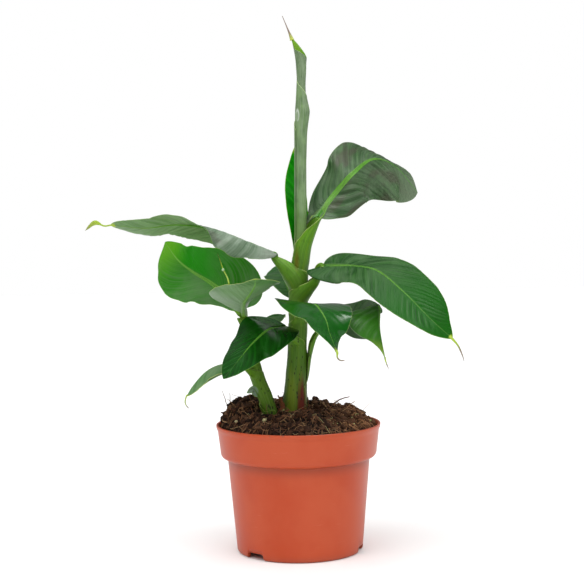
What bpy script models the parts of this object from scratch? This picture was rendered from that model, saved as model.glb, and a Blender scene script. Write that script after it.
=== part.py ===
"""Young banana plant in a round nursery pot, built at its real size.

The plant is an assembly: a pot, its soil, a main pseudostem with a rolled spear leaf
on top, one sucker, and a dozen leaves that are each a petiole and a blade. The origin
is at the centre of the pot's flat underside, +Z is up and -Y is the front.
Sizes below are millimetres; MM turns them into Blender's metres.
"""
import math
from dataclasses import dataclass, field

import bmesh
import bpy
from mathutils import Vector

MM = 0.001

# ---- clearances -------------------------------------------------------------
GAP = 0.35                      # air left between pieces that touch

# ---- pot --------------------------------------------------------------------
POT_HEIGHT = 93.6
RIM_RADIUS = 60.3
BAND_FOOT_RADIUS = 57.1         # bottom of the deep rim band
BAND_FOOT_Z = 71.5
BODY_TOP_RADIUS = 52.2          # just under the band
BODY_TOP_Z = 68.7
BASE_RADIUS = 46.2
WALL = 1.7
FOOT_HEIGHT = 5.0               # the floor is this far above the ground
FOOT_WIDTH = 2.6
PAD_RADIUS = 16.0               # flat disc in the middle of the underside
FLOOR_TOP = 7.5
POT_STEPS = 40
NOTCH_ANGLES = (-45.0, 75.0, 195.0)     # drainage notches, from the front (-Y) towards +X
NOTCH_WIDTH = 18.0
NOTCH_TOP_WIDTH = 15.0

# ---- soil -------------------------------------------------------------------
SOIL_EDGE_Z = 91.0
SOIL_CROWN = 15.0               # how far the mound rises above its edge
SOIL_LUMP = 1.3
SOIL_STEPS = 32
STEM_FOOT_Z = 92.0              # the stems' flat cuts, inside the mound

# ---- pseudostems: centre line points with their radii ------------------------
STEM = (((-3.5, 0, STEM_FOOT_Z), 9.9), ((-2.8, 0, 103), 9.3), ((-1.5, 0, 122), 8.1),
        ((0, 0, 142), 7.0), ((0.8, 0, 166), 6.9), ((1.6, 0, 191), 7.1),
        ((2.6, 0, 206), 6.9), ((4.0, 0, 221), 6.1), ((4.6, 0, 234), 5.4))
SUCKER = (((-18, -11, STEM_FOOT_Z), 5.0), ((-20, -10, 103), 5.2), ((-24, -9, 115), 5.2),
          ((-28, -8, 125), 5.1), ((-32, -7, 138), 5.0), ((-35.5, -6, 152), 4.7), ((-37.5, -6, 163), 4.0))
SPEAR = (((4.6, 0, 234.4), 4.8), ((4.3, 0, 253), 4.2), ((4.6, 0, 284), 4.1), ((5.2, 0, 305), 4.4),
         ((6.1, 0, 321), 5.3), ((5.7, 0, 331), 4.0), ((6.1, 0, 347), 3.5), ((5.9, 0, 357), 4.5),
         ((4.6, 0, 363.5), 3.8), ((0.5, 0, 371), 1.4), ((-1, 0, 374), 0.9), ((-7, 0, 390), 0.75))
STEM_SIDES = 14

# ---- leaves -----------------------------------------------------------------
BLADE_THICKNESS = 1.2
ROW_LENGTH = 10.0               # about this much of a blade for each row of cells
FEWEST_ROWS = 4
BLADE_CELLS = 3                 # cells across each half
NARROWEST = 0.8                 # least half-width, at the ends and along the thread tip
STALK_SIDES = 8
STALK_STEPS = 6
STALK_END = 4.0                 # the petiole's last stretch runs straight into the blade
OUTLINE_BASE = 0.55             # bluntness of a blade's base
OUTLINE_TIP = 0.87              # and of its tip
CURL = 0.5                      # a half bends on by this share of its fold towards the margin
SWEEP = (-0.10, 0.15, 0.30)     # how far a blade's cross lines lean to the tip: base, middle, tip


@dataclass(frozen=True)
class Half:
    """One side of a blade: its width, where it is widest and how it folds along the leaf."""
    width: float
    peak: float
    fold: tuple


@dataclass(frozen=True)
class Leaf:
    """A petiole and the blade that it carries.

    path is the midrib, facing the way the upper surface looks at even steps along it.
    stalk runs from inside its stem to just short of the midrib's first point.
    """
    name: str
    stem: tuple                 # the limbs that the leaf grows out of, built before it
    stalk: tuple
    stalk_radii: tuple
    path: tuple
    facing: tuple
    left: Half
    right: Half
    colour: tuple
    thread: tuple = field(default=())


LEAVES = (
    Leaf("upper_right_leaf", ("spear_leaf", "main_stem"),
         ((2, 0, 206), (5.5, -1.5, 223), (10.9, -2, 236)), (3.6, 3.0),
         ((15, -1, 247), (29, 11, 261), (43, 14, 276), (60, 39, 287), (78, 56, 281), (95, 66, 261)),
         ((-0.6, -0.8, -0.1), (0.6, -0.3, 0.7), (-0.1, -0.7, 0.7)),
         Half(25, 0.55, (-20, -10, -20)), Half(32, 0.65, (-30, -40, 0)), (0.22, 0.36, 0.24)),
    Leaf("upper_left_leaf", ("main_stem",),
         ((1, 0, 197), (-5, -4, 205), (-15, -8, 215.5)), (3.4, 2.1),
         ((-19, -10, 220.5), (-40, -15, 229.5), (-62, -23, 238), (-84, -35, 241), (-106, -37, 239), (-130, -35, 241.5)),
         ((0, 0.25, 0.95), (-0.5, 0.1, 0.85), (-0.1, 0.7, 0.7), (0, 0.7, 0.7)),
         Half(18, 0.45, (-80, -60, -10, -10)), Half(17, 0.40, (-10, -10, 15, 20)), (0.24, 0.42, 0.26),
         ((-135, -35, 241), (-141.5, -35, 243), (-148.5, -35, 238))),
    Leaf("right_leaf", ("main_stem",),
         ((2, 0, 182), (7.5, -5, 193), (13, -9.3, 200)), (3.6, 2.3),
         ((21, -11.5, 209.8), (40, -13, 209.3), (58, -27, 206), (76, -40, 191), (93, -53, 173), (108, -55, 159)),
         ((0.3, -0.5, 0.8), (0, -0.4, 0.9), (0.6, -0.7, 0.5)),
         Half(28, 0.55, (0, 0, 0)), Half(22, 0.35, (-10, -15, -10)), (0.16, 0.38, 0.14),
         ((112, -55, 154), (115, -55, 147), (116, -55, 143))),
    Leaf("small_left_leaf", ("sucker_stem",),
         ((-35.5, -6, 152), (-37, -7, 163), (-38, -8, 169)), (2.6, 2.1),
         ((-38, -10, 175.5), (-37, -34, 185), (-33, -47, 191), (-29, -59, 198), (-28, -72, 204)),
         ((-0.3, 0.6, 0.8), (0, 0.2, 1), (-0.1, 0.5, 0.8)),
         Half(20, 0.65, (40, 20, -5)), Half(26, 0.40, (30, 10, -5)), (0.38, 0.56, 0.34)),
    Leaf("left_leaf", ("sucker_stem", "small_left_stalk"),
         ((-36, -6, 158), (-38.5, -5, 166), (-41, -4, 172)), (1.9, 1.7),
         ((-43.5, -3, 177), (-60, 19, 194), (-78, 31, 205), (-89, 34, 214), (-98, 36, 227)),
         ((-0.5, 0.7, 0.4), (-0.3, 0.9, 0.3), (-0.1, 0.8, 0.6)),
         Half(31, 0.25, (-5, -25, -20)), Half(26, 0.65, (-5, -30, 30)), (0.10, 0.40, 0.05)),
    Leaf("back_leaf", ("main_stem",),
         ((1, 0, 172), (0, 8, 178), (-1, 15, 181)), (2.4, 1.8),
         ((-2, 21, 184), (-7, 29, 195), (-9, 50, 202), (-7, 82, 205), (-3, 121, 203)),
         ((0, -0.4, 0.9), (-0.1, 0.1, 1), (0.1, 0.2, 1)),
         Half(16, 0.40, (5, -10, 5)), Half(18, 0.40, (0, 0, 0)), (0.26, 0.44, 0.26)),
    Leaf("front_leaf", ("main_stem",),
         ((1, 0, 168), (3, -6, 176)), (2.4, 1.8),
         ((6, -11, 181), (12, -40, 184), (16, -59, 181), (20, -70, 174), (22, -75, 166), (27, -81, 153)),
         ((0, -0.1, 1), (0.2, -0.8, 0.6), (0.6, -0.8, 0.1)),
         Half(26, 0.30, (0, -5, -30)), Half(29, 0.40, (10, 5, 30)), (0.03, 0.26, 0.03),
         ((27, -80, 150), (29, -80, 148), (32, -80, 148))),
    Leaf("front_left_leaf", ("main_stem",),
         ((1, 0, 142), (-3.5, -6, 155), (-6, -11, 162)), (2.8, 1.8),
         ((-7, -14, 166), (-19, -32, 166), (-31, -42, 157), (-40, -48, 147), (-52, -51, 133)),
         ((-0.48, -0.79, 0.38), (-0.4, -0.9, 0.1), (-0.7, -0.7, 0.4)),
         Half(21, 0.35, (-5, 10, 10)), Half(25, 0.35, (25, -30, 0)), (0.02, 0.20, 0.03)),
    Leaf("inner_leaf", ("sucker_stem",),
         ((-34, -6, 146), (-28, -8, 155)), (1.6, 1.2),
         ((-25, -9, 165), (-22, -2, 170), (-16, 25, 170), (-9, 39, 170)),
         ((0.1, -0.5, 0.9), (-0.1, -0.5, 0.9), (0.1, -0.5, 0.9)),
         Half(5, 0.45, (10, 0, 20)), Half(12, 0.20, (5, 10, 5)), (0.20, 0.44, 0.16)),
    Leaf("low_left_leaf", ("sucker_stem",),
         ((-30, -8, 130), (-36, -15, 136)), (1.7, 1.2),
         ((-43, -19, 139), (-55, -13, 139), (-66, -11, 134), (-75, -12, 125), (-81, -12, 116)),
         ((-0.1, 0.4, 0.9), (-0.3, 0.2, 0.9), (-0.9, 0, 0.5)),
         Half(13, 0.40, (-40, -30, -30)), Half(8, 0.40, (-50, -50, -30)), (0.14, 0.36, 0.14),
         ((-82, -12, 112), (-81, -12, 109), (-79, -12, 107))),
    Leaf("low_right_leaf", ("main_stem",),
         ((2, 0, 124), (8, -2, 143), (13, -1, 158), (21, 2, 164.5)), (2.5, 1.9),
         ((29, 3, 168), (41, 1, 171.5), (52, -8, 178.5), (58.5, -20, 181.5), (59, -31, 176), (58.3, -44, 165),
          (61, -60, 145)),
         ((-0.1, -0.45, 0.9), (0.2, -0.65, 0.7), (0.9, -0.4, 0.3), (1, -0.3, -0.1)),
         Half(11, 0.15, (20, 0, -70, -90, -80, -60)), Half(26, 0.42, (0, -20, -45, -5)), (0.18, 0.40, 0.16),
         ((62, -60, 142),)),
    Leaf("upright_leaf", ("main_stem", "spear_leaf"),
         (), (),
         ((1, 8, 212), (4, 10, 235), (4, 16, 261), (3, 19, 281), (0.5, 21, 296)),
         ((0.6, -0.8, 0), (0.1, -1, -0.1), (-0.2, -1, 0.2)),
         Half(12, 0.50, (20, 15, -10)), Half(6, 0.40, (30, 30, 30)), (0.05, 0.42, 0.03)),
    Leaf("scale_leaf", ("sucker_stem",),
         (), (),
         ((-28.5, -12, 115), (-32, -13, 121), (-37, -13, 118)),
         ((-0.3, -0.9, 0.3), (-0.2, -0.9, 0.3)),
         Half(4, 0.45, (0, 0)), Half(3, 0.45, (0, 0)), (0.20, 0.40, 0.16)),
)

COLOURS = {
    "pot": (0.58, 0.10, 0.045),
    "soil": (0.045, 0.022, 0.012),
    "stem": (0.30, 0.36, 0.10),
    "spear": (0.30, 0.40, 0.24),
    "stalk": (0.32, 0.46, 0.14),
}


# ---- scene helpers ----------------------------------------------------------
def clear_scene():
    for old in list(bpy.data.objects):
        bpy.data.objects.remove(old, do_unlink=True)


def new_collection(name):
    collection = bpy.data.collections.new(name)
    bpy.context.scene.collection.children.link(collection)
    return collection


def material(name, colour, roughness):
    made = bpy.data.materials.new(name)
    made.use_nodes = True
    shader = made.node_tree.nodes["Principled BSDF"]
    shader.inputs["Base Color"].default_value = (*colour, 1.0)
    shader.inputs["Roughness"].default_value = roughness
    shader.inputs["Metallic"].default_value = 0.0
    return made


def add_object(name, mesh, collection, finish=None):
    made = bpy.data.objects.new(name, mesh)
    collection.objects.link(made)
    if finish:
        made.data.materials.append(finish)
    return made


def evaluated_mesh(source):
    """Return a copy of an object's mesh with its modifiers and bevels applied."""
    graph = bpy.context.evaluated_depsgraph_get()
    graph.update()
    return bpy.data.meshes.new_from_object(source.evaluated_get(graph))


def weld(mesh):
    shape = bmesh.new()
    shape.from_mesh(mesh)
    bmesh.ops.remove_doubles(shape, verts=shape.verts, dist=0.00002)
    bmesh.ops.recalc_face_normals(shape, faces=shape.faces)
    shape.to_mesh(mesh)
    shape.free()


# ---- curves in space ----------------------------------------------------------
def smooth_path(points, count):
    """Return count + 1 points at even distances on a Catmull-Rom curve through the points."""
    places = [Vector(point) for point in points]
    places = [2 * places[0] - places[1], *places, 2 * places[-1] - places[-2]]
    dense = []
    for before, start, end, after in zip(places, places[1:], places[2:], places[3:]):
        for part in range(20):
            t = part / 20
            dense.append(0.5 * (2 * start + (end - before) * t
                                + (2 * before - 5 * start + 4 * end - after) * t ** 2
                                + (3 * start - before - 3 * end + after) * t ** 3))
    dense.append(places[-2])
    return even_points(dense, count)


def even_points(dense, count):
    travelled = [0.0]
    for start, end in zip(dense, dense[1:]):
        travelled.append(travelled[-1] + (end - start).length)
    result = []
    index = 0
    for part in range(count + 1):
        wanted = travelled[-1] * part / count
        while index < len(dense) - 2 and travelled[index + 1] < wanted:
            index += 1
        share = (wanted - travelled[index]) / (travelled[index + 1] - travelled[index])
        result.append(dense[index].lerp(dense[index + 1], share))
    return result


def path_length(points):
    return sum((end - start).length for start, end in zip(points, points[1:]))


def blend(values, share):
    """Ease between a few values that are spread evenly over a share from 0 to 1."""
    place = min(max(share, 0.0), 1.0) * (len(values) - 1)
    index = min(int(place), len(values) - 2)
    t = place - index
    t = t * t * (3 - 2 * t)
    return values[index] * (1 - t) + values[index + 1] * t


def tube(name, points, radii, sides, collection, finish=None):
    """Build a tapering limb with flat ends as a welded mesh; its sizes are in millimetres."""
    curve = bpy.data.curves.new(name, "CURVE")
    curve.dimensions = "3D"
    curve.bevel_depth = MM
    curve.bevel_resolution = (sides - 4) // 2
    curve.use_fill_caps = True
    spline = curve.splines.new("POLY")
    spline.points.add(len(points) - 1)
    for knot, point, radius in zip(spline.points, points, radii):
        knot.co = (*(Vector(point) * MM), 1.0)
        knot.radius = radius
    source = add_object(name + "_curve", curve, collection)
    mesh = evaluated_mesh(source)
    mesh.name = name
    mesh.materials.clear()
    weld(mesh)
    made = add_object(name, mesh, collection, finish)
    made.matrix_world = source.matrix_world
    bpy.data.objects.remove(source, do_unlink=True)
    return made


def hide_cutter(cutter):
    cutter.hide_render = True
    cutter.display_type = "WIRE"
    return cutter


def room_round(name, points, radii, sides, cutters):
    """Build the cutter that leaves GAP clear round a limb: a copy that is fatter and longer by GAP."""
    first = points[0] + (points[0] - points[1]).normalized() * GAP
    last = points[-1] + (points[-1] - points[-2]).normalized() * GAP
    fatter = [radius + GAP for radius in radii]
    return hide_cutter(tube(name + "_room", [first, *points[1:-1], last], fatter, sides, cutters))


def cut(target, cutter):
    """Take the cutter's shape out of the target."""
    step = target.modifiers.new("cut_" + cutter.name, "BOOLEAN")
    step.operation = "DIFFERENCE"
    step.solver = "EXACT"
    step.object = cutter


# ---- pot ----------------------------------------------------------------------
def pot_profile():
    """Return the (radius, height) line of the pot's section, from the floor round to the pad."""
    foot_inner = BASE_RADIUS - FOOT_WIDTH
    return (
        (0, FLOOR_TOP), (BASE_RADIUS - 4.5, FLOOR_TOP), (BASE_RADIUS - WALL, FLOOR_TOP + 3),
        (BODY_TOP_RADIUS - WALL, BODY_TOP_Z + 1), (BAND_FOOT_RADIUS - WALL, BAND_FOOT_Z + 1.5),
        (RIM_RADIUS - 2.4, POT_HEIGHT - 4), (RIM_RADIUS - WALL, POT_HEIGHT),
        (RIM_RADIUS - 0.3, POT_HEIGHT), (RIM_RADIUS, POT_HEIGHT - 0.5), (RIM_RADIUS - 0.2, POT_HEIGHT - 2),
        (RIM_RADIUS - 1.1, POT_HEIGHT - 4.5), (BAND_FOOT_RADIUS, BAND_FOOT_Z),
        (BAND_FOOT_RADIUS - 0.8, BAND_FOOT_Z - 1.3), (BODY_TOP_RADIUS, BODY_TOP_Z),
        (BASE_RADIUS, 2), (BASE_RADIUS - 0.6, 0.5), (BASE_RADIUS - 1.2, 0),
        (foot_inner, 0), (foot_inner - 0.5, FOOT_HEIGHT), (PAD_RADIUS + 1, FOOT_HEIGHT),
        (PAD_RADIUS, 0), (0, 0),
    )


def turned(name, profile, steps, collection, finish=None):
    """Turn a section line about the Z axis with the Screw modifier."""
    mesh = bpy.data.meshes.new(name)
    points = [(radius * MM, 0, height * MM) for radius, height in profile]
    mesh.from_pydata(points, [(i, i + 1) for i in range(len(points) - 1)], [])
    made = add_object(name, mesh, collection, finish)
    screw = made.modifiers.new("turn", "SCREW")
    screw.steps = steps
    screw.render_steps = steps
    screw.use_merge_vertices = True
    screw.merge_threshold = 0.00005
    return made


def notch_cutter(number, angle, cutters):
    """Build the wedge that opens one drainage notch through the foot of the wall."""
    shape = bmesh.new()
    bmesh.ops.create_cube(shape, size=1.0)
    for vert in shape.verts:
        top = vert.co.z > 0
        width = NOTCH_TOP_WIDTH if top else NOTCH_WIDTH
        vert.co.x *= width * MM
        vert.co.y = (-BASE_RADIUS + vert.co.y * 12 - 1) * MM
        vert.co.z = (FOOT_HEIGHT - 0.2 if top else -2.0) * MM
    mesh = bpy.data.meshes.new(f"notch_{number}")
    shape.to_mesh(mesh)
    shape.free()
    cutter = hide_cutter(add_object(f"notch_{number}", mesh, cutters))
    cutter.rotation_euler.z = math.radians(angle)
    return cutter


def build_pot(parts, cutters):
    pot = turned("pot", pot_profile(), POT_STEPS, parts, material("pot", COLOURS["pot"], 0.42))
    for number, angle in enumerate(NOTCH_ANGLES, start=1):
        cut(pot, notch_cutter(number, angle, cutters))


# ---- soil ---------------------------------------------------------------------
def soil_height(x, y, reach):
    """Height of the mound at a place given in mm; reach runs from 0 in the middle to 1 at the wall."""
    slope = 0.10 * y - 0.20 * max(x - 12, 0)
    mound = SOIL_CROWN * (1 - reach ** 6.0) + slope * (1 - reach ** 3)
    lumps = math.sin(x * 0.21 + 1.3) * math.cos(y * 0.17 - 0.6) + 0.6 * math.sin(x * 0.37 - y * 0.29)
    return SOIL_EDGE_Z + mound + SOIL_LUMP * lumps * (1 - reach ** 4)


def build_soil(parts, stem_cutters):
    """Fill the pot with a mounded plug of soil that stays GAP clear of the wall."""
    edge = RIM_RADIUS - 2.4 - 0.8
    section = (
        *((edge * step / 6, SOIL_EDGE_Z) for step in range(7)),
        (BAND_FOOT_RADIUS - WALL - 0.8, BAND_FOOT_Z + 1.5), (BODY_TOP_RADIUS - WALL - 0.8, BODY_TOP_Z + 1),
        (BASE_RADIUS - WALL - 0.8, FLOOR_TOP + 4), (BASE_RADIUS - 5.5, FLOOR_TOP + GAP), (0, FLOOR_TOP + GAP),
    )
    lathe = turned("soil_lathe", section, SOIL_STEPS, parts)
    mesh = evaluated_mesh(lathe)
    mesh.name = "soil"
    bpy.data.objects.remove(lathe, do_unlink=True)
    for vert in mesh.vertices:
        if vert.co.z > (SOIL_EDGE_Z - 0.1) * MM:
            x, y = vert.co.x / MM, vert.co.y / MM
            vert.co.z = soil_height(x, y, min(1.0, math.hypot(x, y) / edge)) * MM
    weld(mesh)
    soil = add_object("soil", mesh, parts, material("soil", COLOURS["soil"], 0.95))
    for cutter in stem_cutters:
        cut(soil, cutter)


# ---- stems --------------------------------------------------------------------
def spaced(knots, count):
    """Return even centre line points and the radii at them."""
    points = smooth_path([point for point, _ in knots], count)
    heights = [point[2] for point, _ in knots]
    radii = []
    for point in points:
        index = 0
        while index < len(heights) - 2 and heights[index + 1] < point.z:
            index += 1
        share = (point.z - heights[index]) / (heights[index + 1] - heights[index])
        share = min(max(share, 0.0), 1.0)
        radii.append(knots[index][1] * (1 - share) + knots[index + 1][1] * share)
    return points, radii


def build_stems(parts, cutters):
    """Build the limbs and return, for each, the cutter that keeps its neighbours clear of it."""
    rooms = {}
    for name, knots, count, colour in (
        ("main_stem", STEM, 10, "stem"),
        ("sucker_stem", SUCKER, 8, "stem"),
        ("spear_leaf", SPEAR, 22, "spear"),
    ):
        points, radii = spaced(knots, count)
        tube(name, points, radii, STEM_SIDES, parts, material(name, COLOURS[colour], 0.5))
        rooms[name] = room_round(name, points, radii, STEM_SIDES, cutters)
    return rooms


# ---- leaves -------------------------------------------------------------------
def half_outline(share, peak):
    """Width of one half at a share of the blade's length, from 0 at the ends to 1 at the peak."""
    if share < peak:
        return max(0.0, 1 - ((peak - share) / peak) ** 2) ** OUTLINE_BASE
    return max(0.0, 1 - ((share - peak) / (1 - peak)) ** 2) ** OUTLINE_TIP


def midrib(leaf):
    """Return even points along a leaf's midrib, more of them on a longer leaf."""
    length = path_length([Vector(point) for point in leaf.path])
    return smooth_path(leaf.path, max(FEWEST_ROWS, round(length / ROW_LENGTH)))


def blade_rows(leaf):
    """Return the rows of points that span a blade's middle surface, margin to margin."""
    ribs = midrib(leaf)
    last = len(ribs) - 1
    rows = []
    for index, rib in enumerate(ribs):
        share = index / last
        before = ribs[max(index - 1, 0)]
        after = ribs[min(index + 1, last)]
        along = (after - before).normalized()
        facing = blend([Vector(value) for value in leaf.facing], share)
        facing = (facing - along * facing.dot(along)).normalized()
        across = along.cross(facing)
        row = {0: rib}
        for side, half in ((1, leaf.right), (-1, leaf.left)):
            width = max(half.width * half_outline(share, half.peak), NARROWEST)
            fold = math.radians(blend(half.fold, share))
            out = 0.0
            up = 0.0
            for cell in range(1, BLADE_CELLS + 1):
                angle = fold * (1 + CURL * (cell - 0.5) / BLADE_CELLS)
                out += math.cos(angle) * width / BLADE_CELLS
                up += math.sin(angle) * width / BLADE_CELLS
                row[side * cell] = rib + across * side * out + facing * up + along * blend(SWEEP, share) * out
        rows.append([row[cell] for cell in range(-BLADE_CELLS, BLADE_CELLS + 1)])
    return rows + thread_rows(rows[-1], [Vector(point) for point in leaf.thread])


def thread_rows(last_row, thread):
    """Carry the last row on along the thread at the blade's tip."""
    middle = last_row[BLADE_CELLS]
    offsets = [(point - middle) for point in last_row]
    return [[point + offset for offset in offsets] for point in thread]


def build_blade(leaf, parts, rooms):
    """Build one blade: a grid over its rows, thickened with Solidify.

    A leaf with no petiole of its own wraps its stem, so its blade is cut clear of the stem.
    """
    rows = blade_rows(leaf)
    shape = bmesh.new()
    grid = [[shape.verts.new(point * MM) for point in row] for row in rows]
    for near, far in zip(grid, grid[1:]):
        for a, b, c, d in zip(near, near[1:], far[1:], far):
            shape.faces.new((a, b, c, d))
    mesh = bpy.data.meshes.new(leaf.name)
    shape.to_mesh(mesh)
    shape.free()
    blade = add_object(leaf.name, mesh, parts, material(leaf.name, leaf.colour, 0.4))
    shell = blade.modifiers.new("thickness", "SOLIDIFY")
    shell.thickness = BLADE_THICKNESS * MM
    shell.offset = 0.0
    if not leaf.stalk:
        for support in leaf.stem:
            cut(blade, rooms[support])


def stalk_points(leaf):
    """Return the petiole's points, the last one GAP short of the blade."""
    start, following = midrib(leaf)[:2]
    along = (following - start).normalized()
    points = smooth_path([*leaf.stalk, start - along * STALK_END], STALK_STEPS - 1)
    return [*points, start - along * GAP]


def build_stalk(leaf, parts, cutters, rooms):
    """Build one petiole and cut it back from the limbs that it grows out of."""
    name = leaf.name.replace("_leaf", "_stalk")
    points = stalk_points(leaf)
    radii = [blend(leaf.stalk_radii, index / STALK_STEPS) for index in range(STALK_STEPS + 1)]
    stalk = tube(name, points, radii, STALK_SIDES, parts, material(name, COLOURS["stalk"], 0.45))
    for support in leaf.stem:
        cut(stalk, rooms[support])
    rooms[name] = room_round(name, points, radii, STALK_SIDES, cutters)


def build_leaves(parts, cutters, rooms):
    for leaf in LEAVES:
        build_blade(leaf, parts, rooms)
        if leaf.stalk:
            build_stalk(leaf, parts, cutters, rooms)


def main():
    clear_scene()
    parts = new_collection("potted_banana_plant")
    cutters = new_collection("cutters")
    build_pot(parts, cutters)
    rooms = build_stems(parts, cutters)
    build_soil(parts, (rooms["main_stem"], rooms["sucker_stem"]))
    build_leaves(parts, cutters, rooms)


main()
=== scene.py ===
"""Looks of a young banana plant in a nursery pot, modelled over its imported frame.

Every sub-assembly is a class that holds its sizes and builds and dresses its meshes: the
pot, the bed of soil with its crumbs and fibres, the two pseudostems, the rolled spear leaf
and the open leaves with their sheaths. Sizes are millimetres, which MM turns into metres.
The origin is at the centre of the pot's underside, +Z is up and -Y is the front.
"""

import functools
import itertools
import logging
import math
from dataclasses import dataclass, field
from enum import Enum

import bmesh
import bpy
import numpy as np
from mathutils import Matrix, Vector


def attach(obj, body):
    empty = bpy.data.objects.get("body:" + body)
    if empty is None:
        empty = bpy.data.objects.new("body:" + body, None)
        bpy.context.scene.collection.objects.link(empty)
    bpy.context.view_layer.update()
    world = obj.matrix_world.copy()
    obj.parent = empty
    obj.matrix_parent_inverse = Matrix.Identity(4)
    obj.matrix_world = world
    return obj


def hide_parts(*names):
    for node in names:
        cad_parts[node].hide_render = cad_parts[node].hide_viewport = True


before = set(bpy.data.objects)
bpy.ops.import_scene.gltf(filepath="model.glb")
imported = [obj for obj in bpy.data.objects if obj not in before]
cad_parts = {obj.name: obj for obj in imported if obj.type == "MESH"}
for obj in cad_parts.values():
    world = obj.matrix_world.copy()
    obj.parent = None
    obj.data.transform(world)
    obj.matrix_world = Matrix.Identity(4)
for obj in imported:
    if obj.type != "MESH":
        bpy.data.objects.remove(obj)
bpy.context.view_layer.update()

MM = 0.001
BODY = "root"
LOG = logging.getLogger("banana_plant")

Array = np.ndarray
Colour = tuple[float, float, float]
Point = tuple[float, float, float]
Socket = bpy.types.NodeSocket
Sockets = bpy.types.bpy_prop_collection
Thing = bpy.types.Object
Painted = tuple[object, object, object, float]


# -------- Numbers: curves, easing and seeded noise
def unit(vectors: Array) -> Array:
    """Scale vectors to length one."""
    return vectors / np.maximum(np.linalg.norm(vectors, axis=-1, keepdims=True), 1e-12)


def scaled(colour: Colour, share: float) -> Colour:
    """Scale a colour's brightness."""
    return tuple(share * value for value in colour)


def ease(value: Array | float) -> Array | float:
    """Smooth step from 0 to 1."""
    held = np.clip(value, 0.0, 1.0)
    return held * held * (3.0 - 2.0 * held)


def blend(values: tuple, share: Array) -> Array:
    """Ease between a few values that are spread evenly over a share from 0 to 1.

    Args:
        values: Numbers or vectors, one for each even step.
        share: Places to read, from 0 to 1.

    Returns:
        One number or vector for each place.
    """
    table = np.asarray(values, float)
    place = np.clip(share, 0.0, 1.0) * (len(table) - 1)
    index = np.minimum(place.astype(int), len(table) - 2)
    part = ease(place - index)
    if table.ndim > 1:
        part = part[:, None]
    return table[index] * (1 - part) + table[index + 1] * part


def distances(points: Array) -> Array:
    """Distance travelled along a line of points at each of them."""
    return np.r_[0.0, np.cumsum(np.linalg.norm(np.diff(points, axis=0), axis=1))]


def even_points(dense: Array, count: int) -> Array:
    """Read a dense line of points at count + 1 even distances."""
    travelled = distances(dense)
    wanted = np.linspace(0, travelled[-1], count + 1)
    return np.stack([np.interp(wanted, travelled, dense[:, axis]) for axis in range(3)], axis=-1)


def smooth_path(points: list | tuple | Array, count: int) -> Array:
    """Run a Catmull-Rom curve through points and read it at even distances.

    Args:
        points: Places in millimetres.
        count: Number of steps along the curve.

    Returns:
        count + 1 places.
    """
    knots = np.asarray(points, float)
    knots = np.vstack([2 * knots[0] - knots[1], knots, 2 * knots[-1] - knots[-2]])
    t = np.linspace(0, 1, 20, endpoint=False)[:, None]
    dense = []
    for before, start, end, after in zip(knots, knots[1:], knots[2:], knots[3:]):
        dense.append(0.5 * (2 * start + (end - before) * t
                            + (2 * before - 5 * start + 4 * end - after) * t ** 2
                            + (3 * start - before - 3 * end + after) * t ** 3))
    return even_points(np.vstack([*dense, knots[-2][None]]), count)


def tangents(points: Array) -> Array:
    """Unit directions along a line of points."""
    return unit(np.gradient(points, axis=0))


def square_to(vectors: Array, axes: Array) -> Array:
    """Turn vectors square to unit axes and scale them to length one."""
    return unit(vectors - axes * np.sum(vectors * axes, axis=-1, keepdims=True))


def pair(first: Array, second: Array) -> Array:
    """Join two grids, or a row and a column, into a grid of map coordinates."""
    return np.stack(np.broadcast_arrays(first, second), axis=-1)


def shares(steps: int) -> Array:
    """Even shares from 0 to 1."""
    return np.linspace(0, 1, steps + 1)


def circle_angles(columns: int) -> Array:
    """Even angles round a circle, without the last one that would close it."""
    return np.linspace(0, 2 * np.pi, columns, endpoint=False)


def spokes(angle: Array) -> Array:
    """Level unit vectors at some angles."""
    return np.stack([np.cos(angle), np.sin(angle), 0 * angle], axis=-1)


def smoothed(values: Array, window: Array) -> Array:
    """Average a row of numbers over a sliding window of odd length, holding its ends."""
    padded = np.pad(values, len(window) // 2, mode="edge")
    return np.convolve(padded, window / window.sum(), mode="valid")


def lattice(place: Array, seed: int) -> Array:
    """Hash whole-number places into values between -1 and 1."""
    mixed = np.full(place.shape[:-1], (seed * 2654435761) & 0xFFFFFFFF, dtype=np.int64)
    for axis, prime in zip(range(place.shape[-1]), (73856093, 19349663, 83492791)):
        mixed ^= (place[..., axis] * prime) & 0xFFFFFFFF
    mixed = ((mixed ^ (mixed >> 13)) * 1274126177) & 0xFFFFFFFF
    mixed = ((mixed ^ (mixed >> 15)) * 668265263) & 0xFFFFFFFF
    return (mixed ^ (mixed >> 16)) / 0xFFFFFFFF * 2.0 - 1.0


def noise(points: Array, cell: float, seed: int) -> Array:
    """Smooth seeded noise.

    Args:
        points: Places, with one to three coordinates in the last axis.
        cell: Size of one lump, in the unit of the places.
        seed: Whole number that picks the pattern.

    Returns:
        Values between -1 and 1.
    """
    place = np.asarray(points, float) / cell
    low = np.floor(place).astype(np.int64)
    part = ease(place - low)
    total = np.zeros(place.shape[:-1])
    for corner in itertools.product((0, 1), repeat=place.shape[-1]):
        offset = np.array(corner)
        weight = np.prod(np.where(offset == 1, part, 1 - part), axis=-1)
        total += weight * lattice(low + offset, seed)
    return total


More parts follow.
